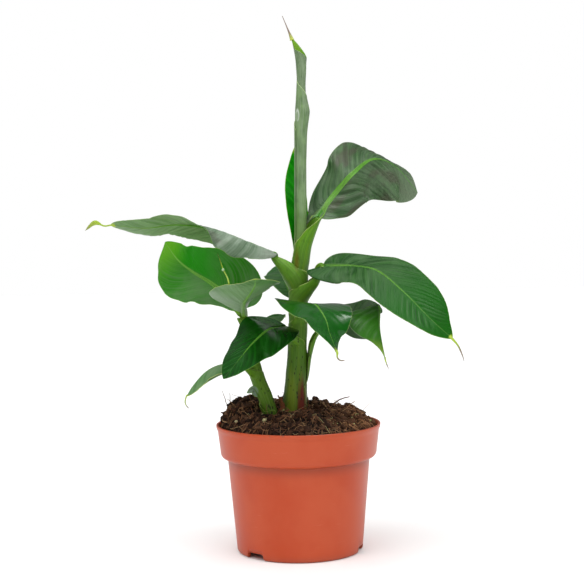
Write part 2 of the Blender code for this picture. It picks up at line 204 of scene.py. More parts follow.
# -------- Meshes
@dataclass
class Skin:
    """Vertices, faces and maps that grow into one mesh object."""

    name: str
    points: list[Array] = field(default_factory=list)
    faces: list[Array] = field(default_factory=list)
    finishes: list[Array] = field(default_factory=list)
    maps: dict[str, list[Array]] = field(default_factory=dict)
    count: int = 0

    def add(self, points: Array, faces: Array, finish: int | Array = 0, **maps: Array) -> None:
        """Add vertices in millimetres with their faces.

        Args:
            points: Vertex places.
            faces: Corner numbers of this call's vertices; -1 stands in a triangle's last corner.
            finish: Number of the material, of all the faces or of each.
            **maps: Named pairs of map coordinates, one for each vertex.
        """
        flat = points.reshape(-1, 3)
        self.points.append(flat)
        self.faces.append(np.where(faces >= 0, faces + self.count, -1))
        self.finishes.append(np.broadcast_to(finish, len(faces)).astype(np.int32))
        for name, values in maps.items():
            self.maps.setdefault(name, []).append(values.reshape(-1, 2))
        self.count += len(flat)

    def build(self, *materials: bpy.types.Material) -> Thing:
        """Turn the skin into a smooth mesh object in the scene.

        Args:
            *materials: Materials in the order of the finish numbers.

        Returns:
            The new object.
        """
        corners = [face[face >= 0].tolist() for group in self.faces for face in group]
        mesh = bpy.data.meshes.new(self.name)
        mesh.from_pydata((np.vstack(self.points) * MM).tolist(), [], corners)
        for finish in materials:
            mesh.materials.append(finish)
        mesh.polygons.foreach_set("material_index", np.concatenate(self.finishes))
        mesh.polygons.foreach_set("use_smooth", np.ones(len(mesh.polygons), dtype=bool))
        corner_vertices = np.zeros(len(mesh.loops), dtype=np.int32)
        mesh.loops.foreach_get("vertex_index", corner_vertices)
        for name, groups in self.maps.items():
            layer = mesh.uv_layers.new(name=name)
            layer.data.foreach_set("uv", np.vstack(groups)[corner_vertices].ravel())
        mesh.update()
        return add_object(self.name, mesh)


def grid_faces(rows: int, columns: int, wrap: bool = False) -> Array:
    """Corner numbers of the quads of a grid of points.

    Args:
        rows: Rows of points.
        columns: Points in a row.
        wrap: Whether the last column joins on to the first.

    Returns:
        One row of four numbers for each quad.
    """
    across = columns if wrap else columns - 1
    row, column = np.meshgrid(np.arange(rows - 1), np.arange(across), indexing="ij")
    a = row * columns + column
    b = row * columns + (column + 1) % columns
    return np.stack([a, b, b + columns, a + columns], axis=-1).reshape(-1, 4)


def fan_faces(first: int, columns: int, centre: int, flip: bool = False) -> Array:
    """Triangles that fan from a centre vertex to a ring of vertices."""
    ring = first + np.arange(columns)
    following = first + (np.arange(columns) + 1) % columns
    edge = (following, ring) if flip else (ring, following)
    return np.stack([*edge, np.full(columns, centre), np.full(columns, -1)], axis=-1)


def add_tube(skin: Skin, rings: Array, finish: int = 0, **maps: Array) -> None:
    """Add a closed tube with fanned ends to a skin.

    Args:
        skin: Skin that receives the tube.
        rings: Points, ring by ring.
        finish: Number of the material.
        **maps: Named map coordinates for each ring point.
    """
    count, columns = rings.shape[:2]
    size = count * columns
    faces = np.vstack([grid_faces(count, columns, wrap=True), fan_faces(0, columns, size, flip=True),
                       fan_faces(size - columns, columns, size + 1)])
    closed = {name: np.vstack([values.reshape(size, 2), values[0].mean(axis=0), values[-1].mean(axis=0)])
              for name, values in maps.items()}
    points = np.vstack([rings.reshape(size, 3), rings[0].mean(axis=0), rings[-1].mean(axis=0)])
    skin.add(points, faces, finish, **closed)


def add_shell(skin: Skin, upper: Array, lower: Array, faces_of: tuple[int, int, int], **maps: Array) -> None:
    """Add a thin closed sheet to a skin from its two sides.

    Args:
        skin: Skin that receives the sheet.
        upper: Grid of points; its columns run across and its rows along, seen from above.
        lower: Matching grid on the other side.
        faces_of: Material numbers of the upper side, the lower side and the rim.
        **maps: Named map coordinates, the same for both sides.
    """
    rows, columns = upper.shape[:2]
    size = rows * columns
    quads = grid_faces(rows, columns)
    number = np.arange(size).reshape(rows, columns)
    loop = np.concatenate([number[0], number[1:, -1], number[-1, -2::-1], number[-2:0:-1, 0]])
    following = np.roll(loop, -1)
    rim = np.stack([following, loop, loop + size, following + size], axis=-1)
    finish = np.repeat(faces_of, (len(quads), len(quads), len(rim)))
    doubled = {name: np.concatenate([values.reshape(-1, 2)] * 2) for name, values in maps.items()}
    skin.add(np.concatenate([upper.reshape(-1, 3), lower.reshape(-1, 3)]),
             np.vstack([quads, quads[:, ::-1] + size, rim]), finish, **doubled)


def rings_along(path: Array, radii: Array, columns: int, flatten: float = 1.0, lean: Point = (0.0, 0.0, 1.0)) -> Array:
    """Set round or flattened rings along a path.

    Args:
        path: Points of the centre line.
        radii: Radius at each point.
        columns: Points in each ring.
        flatten: Thickness as a share of the width.
        lean: Direction that the flat sides face.

    Returns:
        Points, ring by ring.
    """
    along = tangents(path)
    guide = np.tile(np.asarray(lean, float), (len(path), 1))
    clash = np.abs(np.sum(along * unit(guide), axis=1)) > 0.95
    guide[clash] += np.array([0.7, 0.3, 0.0])
    first = square_to(guide, along)
    second = np.cross(along, first)
    angle = circle_angles(columns)
    spread = first[:, None] * (np.cos(angle) * flatten)[None, :, None] + second[:, None] * np.sin(angle)[None, :, None]
    return path[:, None] + spread * radii[:, None, None]


def add_object(name: str, data: bpy.types.ID) -> Thing:
    """Put a new object into the scene."""
    made = bpy.data.objects.new(name, data)
    bpy.context.scene.collection.objects.link(made)
    return made


class Slot(Enum):
    """Material slots of the record."""

    POT = "pot"
    SOIL = "soil"
    STEM = "stem"
    SPEAR = "spear"
    STALK = "stalk"
    LEAF = "leaf"
    LEAF_DARK = "leaf_dark"
    LEAF_BRIGHT = "leaf_bright"
    LEAF_GREY = "leaf_grey"


def finish_piece(skin: Skin, slot: Slot, finishes: tuple, *nodes: str) -> None:
    """Build a skin, dress it with finishes in the order of its numbers and settle it."""
    settle(skin.build(*(material_of(finish) for finish in finishes)), slot, *nodes)


def settle(piece: Thing, slot: Slot, *nodes: str) -> Thing:
    """Ride a piece on the plant's body and hide the CAD nodes that it stands for."""
    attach(piece, BODY)
    if nodes:
        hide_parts(*nodes)
    LOG.info("%s: %d faces", piece.name, len(piece.data.polygons))
    return piece


# -------- Shader nodes
class Graph:
    """Thin layer over a node tree that adds and links nodes in one call."""

    def __init__(self, tree: bpy.types.NodeTree) -> None:
        """Work on a node tree."""
        self.tree = tree

    def add(self, kind: str, values: dict | None = None, **settings: object) -> bpy.types.Node:
        """Add a node.

        Args:
            kind: Blender's type name of the node.
            values: Input name or number, with its value or the socket that feeds it.
            **settings: Attributes of the node.

        Returns:
            The new node.
        """
        node = self.tree.nodes.new(kind)
        for name, value in settings.items():
            setattr(node, name, value)
        for key, value in (values or {}).items():
            self.feed(node.inputs[key], value)
        return node

    def feed(self, socket: Socket, value: object) -> None:
        """Link a socket to an input, or set the input's value."""
        if isinstance(value, Socket):
            self.tree.links.new(value, socket)
        elif value is not None:
            is_colour = socket.type == "RGBA" and len(value) == 3
            socket.default_value = (*value, 1.0) if is_colour else value

    def math(self, operation: str, first: object, second: object = None) -> Socket:
        """Combine one or two numbers."""
        return self.add("ShaderNodeMath", {0: first, 1: second}, operation=operation).outputs[0]

    def times(self, first: object, second: object) -> Socket:
        """Multiply two numbers."""
        return self.math("MULTIPLY", first, second)

    def plus(self, first: object, second: object) -> Socket:
        """Add two numbers."""
        return self.math("ADD", first, second)

    def remap(self, value: object, low: object, high: object, out_low: float = 0.0, out_high: float = 1.0) -> Socket:
        """Ease a range of values to another one and hold it there."""
        node = self.add("ShaderNodeMapRange", {"Value": value, "From Min": low, "From Max": high,
                                               "To Min": out_low, "To Max": out_high})
        node.interpolation_type = "SMOOTHSTEP"
        return node.outputs["Result"]

    def mix(self, factor: object, first: object, second: object, how: str = "MIX") -> Socket:
        """Mix two colours."""
        node = self.add("ShaderNodeMix", data_type="RGBA", blend_type=how)
        for number, value in ((0, factor), (6, first), (7, second)):
            self.feed(node.inputs[number], value)
        return node.outputs[2]

    def tint(self, colour: object, over: object, mask: object, share: float) -> Socket:
        """Lay one colour over another where a mask is set, up to a share."""
        return self.mix(self.times(mask, share), colour, over)

    def noise(self, vector: object, scale: object, detail: float = 2.0, roughness: float = 0.5) -> Socket:
        """Read a noise texture."""
        return self.add("ShaderNodeTexNoise", {"Vector": vector, "Scale": scale, "Detail": detail,
                                               "Roughness": roughness}).outputs["Fac"]

    def stretch(self, vector: object, scale: Point) -> Socket:
        """Scale a vector by its own amount along each axis."""
        return self.add("ShaderNodeMapping", {"Vector": vector, "Scale": scale}).outputs[0]

    def split(self, vector: object) -> list[Socket]:
        """Split a vector into its numbers."""
        return list(self.add("ShaderNodeSeparateXYZ", {0: vector}).outputs)

    def join(self, *numbers: object) -> Socket:
        """Join numbers into a vector."""
        return self.add("ShaderNodeCombineXYZ", dict(enumerate(numbers))).outputs[0]

    def use(self, effect: "Effect", values: dict) -> dict[str, Socket]:
        """Place a shared effect with its own values.

        Args:
            effect: Effect to place.
            values: Input name, with its value or the socket that feeds it.

        Returns:
            Output sockets by name.
        """
        node = self.add("ShaderNodeGroup", node_tree=effect.tree())
        for key, value in values.items():
            self.feed(node.inputs[key], value)
        return {socket.name: socket for socket in node.outputs}

    def patches(self, place: Socket, speck_scale: float, amount: float, patch_scale: float) -> dict[str, Socket]:
        """Place the shared specks and clouds."""
        return self.use(Effect.PATCHES, {"Vector": place, "Speck Scale": speck_scale, "Speck Amount": amount,
                                         "Patch Scale": patch_scale})

    def map(self, name: str) -> Socket:
        """Read a named map of the piece."""
        return self.add("ShaderNodeUVMap", uv_map=name).outputs[0]

    def place(self) -> Socket:
        """Read the place on the piece, in metres from the origin."""
        return self.add("ShaderNodeTexCoord").outputs["Object"]

    def near(self, place: Socket, centre: Point, reach: Point, soft: float = 0.5) -> Socket:
        """Mask a soft-edged ellipsoid.

        Args:
            place: Place on the piece, in metres.
            centre: Middle of the mask, in millimetres.
            reach: Half sizes of the mask, in millimetres.
            soft: Share of the reach over which the mask fades.

        Returns:
            Mask from 0 outside to 1 inside.
        """
        scale = tuple(1 / (MM * value) for value in reach)
        shift = tuple(-c / r for c, r in zip(centre, reach))
        node = self.add("ShaderNodeMapping", {"Vector": place, "Scale": scale, "Location": shift})
        length = self.add("ShaderNodeVectorMath", {0: node.outputs[0]}, operation="LENGTH").outputs["Value"]
        return self.remap(length, 1.0, 1.0 - soft)


class Effect(Enum):
    """Shader node groups that several materials share, each built when it is first used."""

    VEINS = "parallel side veins"
    ZONES = "rib and margin"
    PATCHES = "specks and soft patches"
    STREAKS = "long streaks"

    def tree(self) -> bpy.types.NodeTree:
        """Return the group, building it the first time."""
        made = bpy.data.node_groups.get(self.value)
        if made is None:
            draw, defaults = EFFECTS[self]
            made = bpy.data.node_groups.new(self.value, "ShaderNodeTree")
            made.interface.new_socket(name="Vector", in_out="INPUT", socket_type="NodeSocketVector")
            for label, value in defaults.items():
                socket = made.interface.new_socket(name=label, in_out="INPUT", socket_type="NodeSocketFloat")
                socket.default_value = value
            drawn = draw(Graph(made), made.nodes.new("NodeGroupInput").outputs)
            for label in drawn:
                made.interface.new_socket(name=label, in_out="OUTPUT", socket_type="NodeSocketFloat")
            leave = made.nodes.new("NodeGroupOutput")
            for label, value in drawn.items():
                made.links.new(value, leave.inputs[label])
        return made


def draw_veins(graph: Graph, given: Sockets) -> dict[str, Socket]:
    """Draw a blade's side veins from its vein map, in centimetres."""
    across, along, _ = graph.split(given["Vector"])
    along = graph.plus(along, graph.times(graph.noise(given["Vector"], 1.1, 1.0), 0.10))

    def drawn_out(pitch: Socket, spread: float, detail: float) -> Socket:
        """Noise that is drawn out across the blade."""
        vector = graph.join(graph.times(across, spread), graph.times(along, pitch), 0.0)
        return graph.remap(graph.noise(vector, 1.0, detail, 0.55), 0.30, 0.70)

    fine = drawn_out(given["Fine Pitch"], 0.30, 2.0)
    bands = drawn_out(given["Band Pitch"], 0.35, 3.0)
    return {"Fine": fine, "Bands": bands, "Height": graph.plus(graph.times(fine, 0.30), graph.times(bands, 0.70))}


def draw_zones(graph: Graph, given: Sockets) -> dict[str, Socket]:
    """Find the rib and the margin from a map of (rib half-widths, millimetres to the margin)."""
    rib, margin, _ = graph.split(given["Vector"])
    rough = graph.times(graph.noise(given["Vector"], 3.0, 2.0), 0.25)
    near = graph.math("DIVIDE", graph.plus(rib, rough), given["Rib Share"])
    shoulder = graph.math("ABSOLUTE", graph.math("SUBTRACT", near, 1.08))
    wide, narrow = (graph.times(given["Margin Width"], share) for share in (1.4, 0.5))
    return {"Rib": graph.remap(near, 1.25, 0.85), "Rib Edge": graph.remap(shoulder, 0.22, 0.06),
            "Margin": graph.remap(graph.plus(margin, rough), wide, narrow)}


def draw_patches(graph: Graph, given: Sockets) -> dict[str, Socket]:
    """Scatter small specks and broad soft clouds."""
    cells = graph.add("ShaderNodeTexVoronoi", {"Vector": given["Vector"], "Scale": given["Speck Scale"]})
    gate = graph.noise(given["Vector"], graph.times(given["Speck Scale"], 0.31), 3.0, 0.7)
    least = graph.math("SUBTRACT", 0.75, graph.times(given["Speck Amount"], 0.4))
    dots = graph.times(graph.remap(cells.outputs["Distance"], 0.36, 0.18), graph.math("GREATER_THAN", gate, least))
    return {"Specks": dots, "Cloud": graph.noise(given["Vector"], given["Patch Scale"], 3.0, 0.6)}


def draw_streaks(graph: Graph, given: Sockets) -> dict[str, Socket]:
    """Draw long streaks along the second number of a map in millimetres."""
    across, along, _ = graph.split(given["Vector"])
    drawn = graph.times(along, given["Length"])

    def streak(pitch: Socket, low: float, high: float) -> Socket:
        """Noise that is drawn out along the piece."""
        vector = graph.join(graph.times(across, pitch), drawn, 0.0)
        return graph.remap(graph.noise(vector, 1.0, 2.0, 0.6), low, high)

    broad = streak(given["Broad"], 0.34, 0.66)
    narrow = streak(given["Narrow"], 0.32, 0.68)
    return {"Broad": broad, "Narrow": narrow, "Height": graph.plus(graph.times(narrow, 0.6), graph.times(broad, 0.4))}


EFFECTS = {Effect.VEINS: (draw_veins, {"Fine Pitch": 13.0, "Band Pitch": 2.4}),
           Effect.ZONES: (draw_zones, {"Margin Width": 0.7, "Rib Share": 1.0}),
           Effect.PATCHES: (draw_patches, {"Speck Scale": 700.0, "Speck Amount": 0.3, "Patch Scale": 60.0}),
           Effect.STREAKS: (draw_streaks, {"Broad": 0.35, "Narrow": 2.2, "Length": 0.02})}


@dataclass(frozen=True)
class Finish:
    """Material whose only shader is a Principled one."""

    specular = 0.3              # level of the highlight, which each kind sets as a field
    name: str

    def paint(self, graph: Graph, place: Socket) -> Painted:
        """Draw the finish; every kind has its own way.

        Args:
            graph: Graph of the material.
            place: Place on the piece, in metres from the origin.

        Returns:
            Colour, roughness and relief from 0 to 1, and the relief's depth in millimetres.
        """
        raise NotImplementedError

    def build(self) -> bpy.types.Material:
        """Make the material."""
        made = bpy.data.materials.new(self.name)
        made.use_nodes = True
        graph = Graph(made.node_tree)
        inputs = made.node_tree.nodes["Principled BSDF"].inputs
        inputs["Specular IOR Level"].default_value = self.specular
        colour, roughness, height, depth = self.paint(graph, graph.place())
        graph.feed(inputs["Base Color"], colour)
        graph.feed(inputs["Roughness"], roughness)
        if depth:
            bump = graph.add("ShaderNodeBump", {"Height": height, "Distance": depth * MM})
            graph.feed(inputs["Normal"], bump.outputs[0])
        return made


@dataclass(frozen=True)
class BladeFinish(Finish):
    """Skin of one side of a leaf blade."""

    deep: Colour
    bright: Colour
    bloom: Colour = (0.20, 0.27, 0.19)
    bloom_amount: float = 0.3
    blush: Colour = (0.16, 0.12, 0.10)
    blush_amount: float = 0.0
    rib: Colour = (0.16, 0.34, 0.07)
    rib_share: float = 1.0
    margin: Colour = (0.42, 0.50, 0.16)
    margin_width: float = 0.5
    tip: Colour = (0.36, 0.50, 0.03)
    tip_start: float = 0.94
    # glow patch: partly the leaf's own colour, and on the backlit leaves painted light shining through the blade
    glow: Colour = (0.10, 0.36, 0.01)
    glow_amount: float = 0.0
    glow_middle: float = 0.7
    glow_side: float = 0.0
    roughness: float = 0.36
    relief: float = 0.22
    specular: float = 0.2
    # strength of the painted shade in the pleats' hollows and the painted highlight on their crests
    valley_amount: float = 0.35

    def paint(self, graph: Graph, place: Socket) -> Painted:
        """Draw the veins, the bloom, the glow patch, the painted shade and highlight of the pleats, the rib, the
        margin and the tip.
        """
        veins = graph.use(Effect.VEINS, {"Vector": graph.map("veins")})
        zones = graph.use(Effect.ZONES, {"Vector": graph.map("zones"), "Margin Width": self.margin_width,
                                         "Rib Share": self.rib_share})
        spots = graph.patches(place, 620.0, 0.12, 38.0)
        across, along, _ = graph.split(graph.map("blade"))
        tone = graph.plus(graph.times(veins["Bands"], 0.55), graph.times(spots["Cloud"], 0.45))
        colour = graph.mix(graph.remap(tone, 0.25, 0.75), self.deep, self.bright)
        waxy = graph.times(graph.remap(spots["Cloud"], 0.38, 0.66), self.bloom_amount)
        lined = graph.times(veins["Fine"], 0.7 * self.bloom_amount)
        # brighter, more saturated green zone: partly the leaf's own colour, and on the backlit leaves painted light
        # shining through the blade
        if self.glow_amount:
            reach = graph.plus(along, graph.times(spots["Cloud"], 0.3))
            lit = graph.remap(reach, self.glow_middle - 0.20, self.glow_middle + 0.30, 0.0, self.glow_amount)
            if self.glow_side:
                lit = graph.times(lit, graph.remap(across, 0.54, 0.42, 1.0 - self.glow_side, 1.0))
            colour = graph.mix(lit, colour, self.glow)
            unlit = graph.math("SUBTRACT", 1.0, lit)
            waxy = graph.times(waxy, unlit)
            lined = graph.times(lined, unlit)
        colour = graph.mix(lined, colour, self.bloom)
        colour = graph.mix(waxy, colour, self.bloom)
        if self.blush_amount:
            cloud = graph.noise(graph.join(across, along, 0.37), 3.2, 3.0, 0.6)
            warm = graph.times(graph.remap(cloud, 0.46, 0.62), self.blush_amount)
            colour = graph.mix(warm, colour, self.blush)
        colour = graph.tint(colour, (0.03, 0.05, 0.015), spots["Specks"], 0.5)
        # painted shade in the pleats' hollows and painted highlight on their crests
        valley = graph.split(graph.map("sheath"))[0]
        colour = graph.mix(graph.remap(valley, 0.60, 1.0, 0.0, self.valley_amount), colour, scaled(self.deep, 0.35))
        colour = graph.mix(graph.remap(valley, 0.42, 0.05, 0.0, 0.6 * self.valley_amount), colour, self.bloom)
        tip = graph.remap(graph.plus(along, graph.times(spots["Cloud"], 0.05)), self.tip_start + 0.02, 1.02)
        colour = graph.mix(tip, colour, self.tip)
        colour = graph.mix(zones["Margin"], colour, self.margin)
        colour = graph.mix(zones["Rib"], colour, self.rib)
        colour = graph.tint(colour, self.margin, zones["Rib Edge"], 0.55)
        rough = graph.plus(graph.times(waxy, 0.35),
                           graph.remap(veins["Height"], 0.2, 0.8, self.roughness - 0.04, self.roughness + 0.05))
        grain = graph.times(graph.noise(place, 2600.0, 2.0, 0.6), 0.10)
        return colour, rough, graph.plus(veins["Height"], grain), self.relief


@dataclass(frozen=True)
class StalkFinish(Finish):
    """Skin of a pseudostem, a sheath or a petiole that turns into the rib."""

    foot: Colour
    low: Colour
    high: Colour
    rib: Colour
    edge: Colour = (0.34, 0.45, 0.13)
    speck_amount: float = 0.60
    bloom: Colour = (0.26, 0.37, 0.11)
    bloom_amount: float = 0.42
    roughness: float = 0.36
    specular: float = 0.14

    def paint(self, graph: Graph, place: Socket) -> Painted:
        """Draw the streaks, the bloom, the blush at the foot and the rim."""
        height = graph.split(place)[2]
        streaks = graph.use(Effect.STREAKS, {"Vector": graph.map("girth")})
        spots = graph.patches(graph.stretch(place, (1.0, 1.0, 0.45)), 480.0, self.speck_amount, 70.0)
        share, part, _ = graph.split(graph.map("sheath"))
        colour = graph.mix(graph.remap(part, 0.0, 0.42), self.low, self.high)
        colour = graph.mix(graph.remap(part, 0.42, 0.62), colour, self.rib)
        near_soil = graph.remap(graph.plus(height, graph.times(streaks["Broad"], 0.02)), 0.150, 0.100)
        colour = graph.mix(near_soil, colour, self.foot)
        stripe = graph.remap(streaks["Broad"], 0.30, 0.75)
        colour = graph.tint(colour, scaled(self.low, 0.38), stripe, 0.28)
        lit = graph.remap(streaks["Broad"], 0.42, 0.12)
        colour = graph.tint(colour, scaled(self.foot, 1.5), lit, 0.28)
        warm = graph.near(place, (-4.5, -8.0, 112.0), (6.0, 9.0, 30.0), 0.8)
        colour = graph.tint(colour, (0.16, 0.23, 0.003), warm, 0.7)
        waxy = graph.times(graph.times(streaks["Narrow"], spots["Cloud"]), self.bloom_amount)
        colour = graph.mix(waxy, colour, self.bloom)
        blush = graph.near(place, (3.4, -7.5, 98.0), (7.0, 9.0, 50.0), 0.9)
        blotched = graph.remap(graph.plus(blush, graph.times(streaks["Narrow"], 0.4)), 0.40, 0.95)
        colour = graph.mix(blotched, colour, (0.13, 0.014, 0.006))
        tan = graph.near(place, (0.6, -6.2, 214.0), (2.8, 6.0, 13.0), 0.8)
        colour = graph.tint(colour, (0.13, 0.065, 0.004), tan, 0.55)
        flecks = graph.times(spots["Specks"], graph.remap(height, 0.185, 0.160, 0.25, 0.9))
        colour = graph.mix(flecks, colour, (0.020, 0.016, 0.006))
        rim = graph.times(graph.remap(share, 0.945, 0.99), graph.remap(part, 0.52, 0.44))
        colour = graph.mix(rim, colour, self.edge)
        grain = graph.times(graph.noise(place, 2200.0, 2.0, 0.6), 0.2)
        rough = graph.remap(spots["Cloud"], 0.3, 0.7, self.roughness - 0.05, self.roughness + 0.10)
        return colour, rough, graph.plus(streaks["Height"], grain), 0.16


@dataclass(frozen=True)
class SpearFinish(Finish):
    """Waxy skin of the rolled leaf, with a pale scar."""

    name: str = "spear_skin"
    deep: Colour = (0.070, 0.145, 0.045)
    bright: Colour = (0.145, 0.255, 0.085)
    bloom: Colour = (0.25, 0.32, 0.21)
    edge: Colour = (0.42, 0.58, 0.22)
    specular: float = 0.3

    def paint(self, graph: Graph, place: Socket) -> Painted:
        """Draw the streaks, the bloom, the scar and the pale edge."""
        height = graph.split(place)[2]
        streaks = graph.use(Effect.STREAKS, {"Vector": graph.map("girth"), "Broad": 0.22, "Narrow": 1.6,
                                             "Length": 0.05})
        spots = graph.patches(place, 900.0, 0.35, 95.0)
        colour = graph.mix(graph.remap(spots["Cloud"], 0.36, 0.64), self.deep, self.bright)
        colour = graph.tint(colour, self.bright, streaks["Broad"], 0.35)
        colour = graph.tint(colour, self.bloom, streaks["Narrow"], 0.55)
        colour = graph.tint(colour, (0.05, 0.09, 0.03), spots["Specks"], 0.35)
        low = graph.remap(height, 0.262, 0.232)
        colour = graph.tint(colour, (0.095, 0.205, 0.018), low, 0.65)
        ring = graph.near(place, (2.5, -4.3, 318.6), (2.1, 2.6, 5.6), 0.35)
        hollow = graph.near(place, (2.5, -4.3, 317.8), (1.3, 2.4, 4.0), 0.35)
        scar = graph.math("SUBTRACT", ring, graph.times(hollow, 0.75))
        colour = graph.tint(colour, (0.50, 0.58, 0.48), scar, 0.85)
        share = graph.split(graph.map("sheath"))[0]
        rim = graph.remap(share, 0.955, 0.99)
        colour = graph.mix(rim, colour, self.edge)
        grain = graph.times(graph.noise(place, 1900.0, 3.0, 0.6), 0.35)
        rough = graph.remap(spots["Cloud"], 0.3, 0.7, 0.46, 0.60)
        return colour, rough, graph.plus(streaks["Height"], grain), 0.14


@dataclass(frozen=True)
class PlainPlantFinish(Finish):
    """Thin tissue that grades from one colour to another along the piece."""

    start: Colour
    end: Colour
    middle: float = 0.5
    roughness: float = 0.5
    specular: float = 0.3

    def paint(self, graph: Graph, place: Socket) -> Painted:
        """Grade the colour along the piece, with small specks."""
        spots = graph.patches(place, 1200.0, 0.3, 260.0)
        part = graph.split(graph.map("sheath"))[1]
        drift = graph.plus(part, graph.times(spots["Cloud"], 0.2))
        colour = graph.mix(graph.remap(drift, self.middle - 0.1, self.middle + 0.3), self.start, self.end)
        colour = graph.tint(colour, (0.05, 0.03, 0.01), spots["Specks"], 0.5)
        grain = graph.noise(graph.stretch(place, (1.0, 1.0, 0.3)), 1500.0, 3.0, 0.6)
        rough = graph.remap(spots["Cloud"], 0.3, 0.7, self.roughness - 0.08, self.roughness + 0.08)
        return colour, rough, grain, 0.15


@dataclass(frozen=True)
class PlasticFinish(Finish):
    """Satin moulded plastic of the pot, with scuffs, a little soil dust, a painted shadow under the band and a painted
    sheen towards the right side.
    """

    name: str = "terracotta_plastic"
    body: Colour = (0.43, 0.046, 0.005)
    faded: Colour = (0.465, 0.064, 0.015)
    dust: Colour = (0.16, 0.07, 0.04)
    # colour of the painted shadow under the rim band
    shade: Colour = (0.20, 0.03, 0.012)
    rim_height: float = 93.6
    specular: float = 0.38

    def paint(self, graph: Graph, place: Socket) -> Painted:
        """Draw the flow of the plastic, its scuffs, the dust that settles on it, a painted shadow under the band and a
        painted sheen towards the right side.
        """
        right, _, height = graph.split(place)
        spots = graph.patches(place, 330.0, 0.02, 24.0)
        colour = graph.mix(graph.remap(spots["Cloud"], 0.35, 0.65), self.body, self.faded)
        flow = graph.noise(graph.stretch(place, (1.0, 1.0, 0.12)), 90.0, 3.0, 0.6)
        colour = graph.mix(graph.remap(flow, 0.45, 0.75, 0.0, 0.18), colour, (0.48, 0.05, 0.012))
        # painted sheen: lighter and pinker towards +X, the right side, standing in for the reflection at the pot's
        # grazing edge
        colour = graph.mix(graph.remap(right, 0.032, 0.060, 0.0, 0.45), colour, (0.50, 0.125, 0.070))
        scratches = graph.noise(graph.stretch(place, (40.0, 40.0, 900.0)), 1.0, 4.0, 0.75)
        worn = graph.times(graph.remap(scratches, 0.63, 0.74), graph.remap(spots["Cloud"], 0.50, 0.60))
        colour = graph.tint(colour, (0.75, 0.30, 0.18), worn, 0.22)
        scuff = graph.times(graph.near(place, (49.0, -18.0, 43.0), (3.5, 8.0, 6.5), 0.7),
                           graph.remap(graph.noise(place, 700.0, 3.0, 0.7), 0.46, 0.58))
        colour = graph.tint(colour, (0.42, 0.17, 0.20), scuff, 0.45)
        near_rim = graph.remap(height, (self.rim_height - 3.0) * MM, self.rim_height * MM)
        grit = graph.remap(graph.noise(place, 420.0, 4.0, 0.75), 0.55, 0.68)
        colour = graph.tint(colour, self.dust, graph.times(near_rim, grit), 0.75)
        # painted shadow: darker just under the rim band, where the band shades the wall
        band_shadow = graph.times(graph.remap(height, 60.0 * MM, 69.0 * MM), graph.remap(height, 69.6 * MM, 68.9 * MM))
        colour = graph.tint(colour, self.shade, band_shadow, 0.5)
        low = graph.remap(height, 6.0 * MM, 0.0)
        colour = graph.tint(colour, self.dust, low, 0.25)
        colour = graph.tint(colour, self.dust, spots["Specks"], 0.6)
        rough = graph.plus(graph.remap(spots["Cloud"], 0.3, 0.7, 0.36, 0.45), graph.times(worn, 0.12))
        skin = graph.plus(graph.noise(place, 900.0, 2.0, 0.6), graph.times(worn, -0.5))
        return colour, rough, skin, 0.035


@dataclass(frozen=True)
class EarthFinish(Finish):
    """Matt matter whose tone changes from piece to piece, such as peat, bark, fibre or grit."""

    tones: tuple[Colour, ...]
    grain: float = 900.0
    relief: float = 0.3
    roughness: float = 0.92
    specular: float = 0.15

    def paint(self, graph: Graph, place: Socket) -> Painted:
        """Draw the grain; the tone comes from the first number of the piece's map."""
        pick = graph.split(graph.map("tone"))[0]
        ramp = graph.add("ShaderNodeValToRGB", {"Fac": pick})
        steps = ramp.color_ramp.elements
        last = len(self.tones) - 1
        for number, tone in enumerate(self.tones):
            step = steps[0] if number == 0 else steps[-1] if number == last else steps.new(number / last)
            step.color = (*tone, 1.0)
        grit = graph.noise(place, self.grain, 4.0, 0.7)
        colour = graph.mix(graph.remap(grit, 0.35, 0.65, 0.0, 0.65), ramp.outputs[0], scaled(self.tones[0], 0.35))
        # paler towards +X, the right side
        dry = graph.remap(graph.split(place)[0], 0.012, 0.044, 0.0, 0.45)
        colour = graph.mix(dry, colour, scaled(self.tones[-2], 1.9))
        rough = graph.remap(grit, 0.3, 0.7, self.roughness - 0.08, self.roughness + 0.05)
        return colour, rough, grit, self.relief


# -------- Pseudostems
LAYER = 0.4                     # one sheath's thickness on the pseudostem
PEEL = 7.0                      # height over which a sheath lets go of the stem
GIRTH = 7.0                     # millimetres of map for each radian round a stem


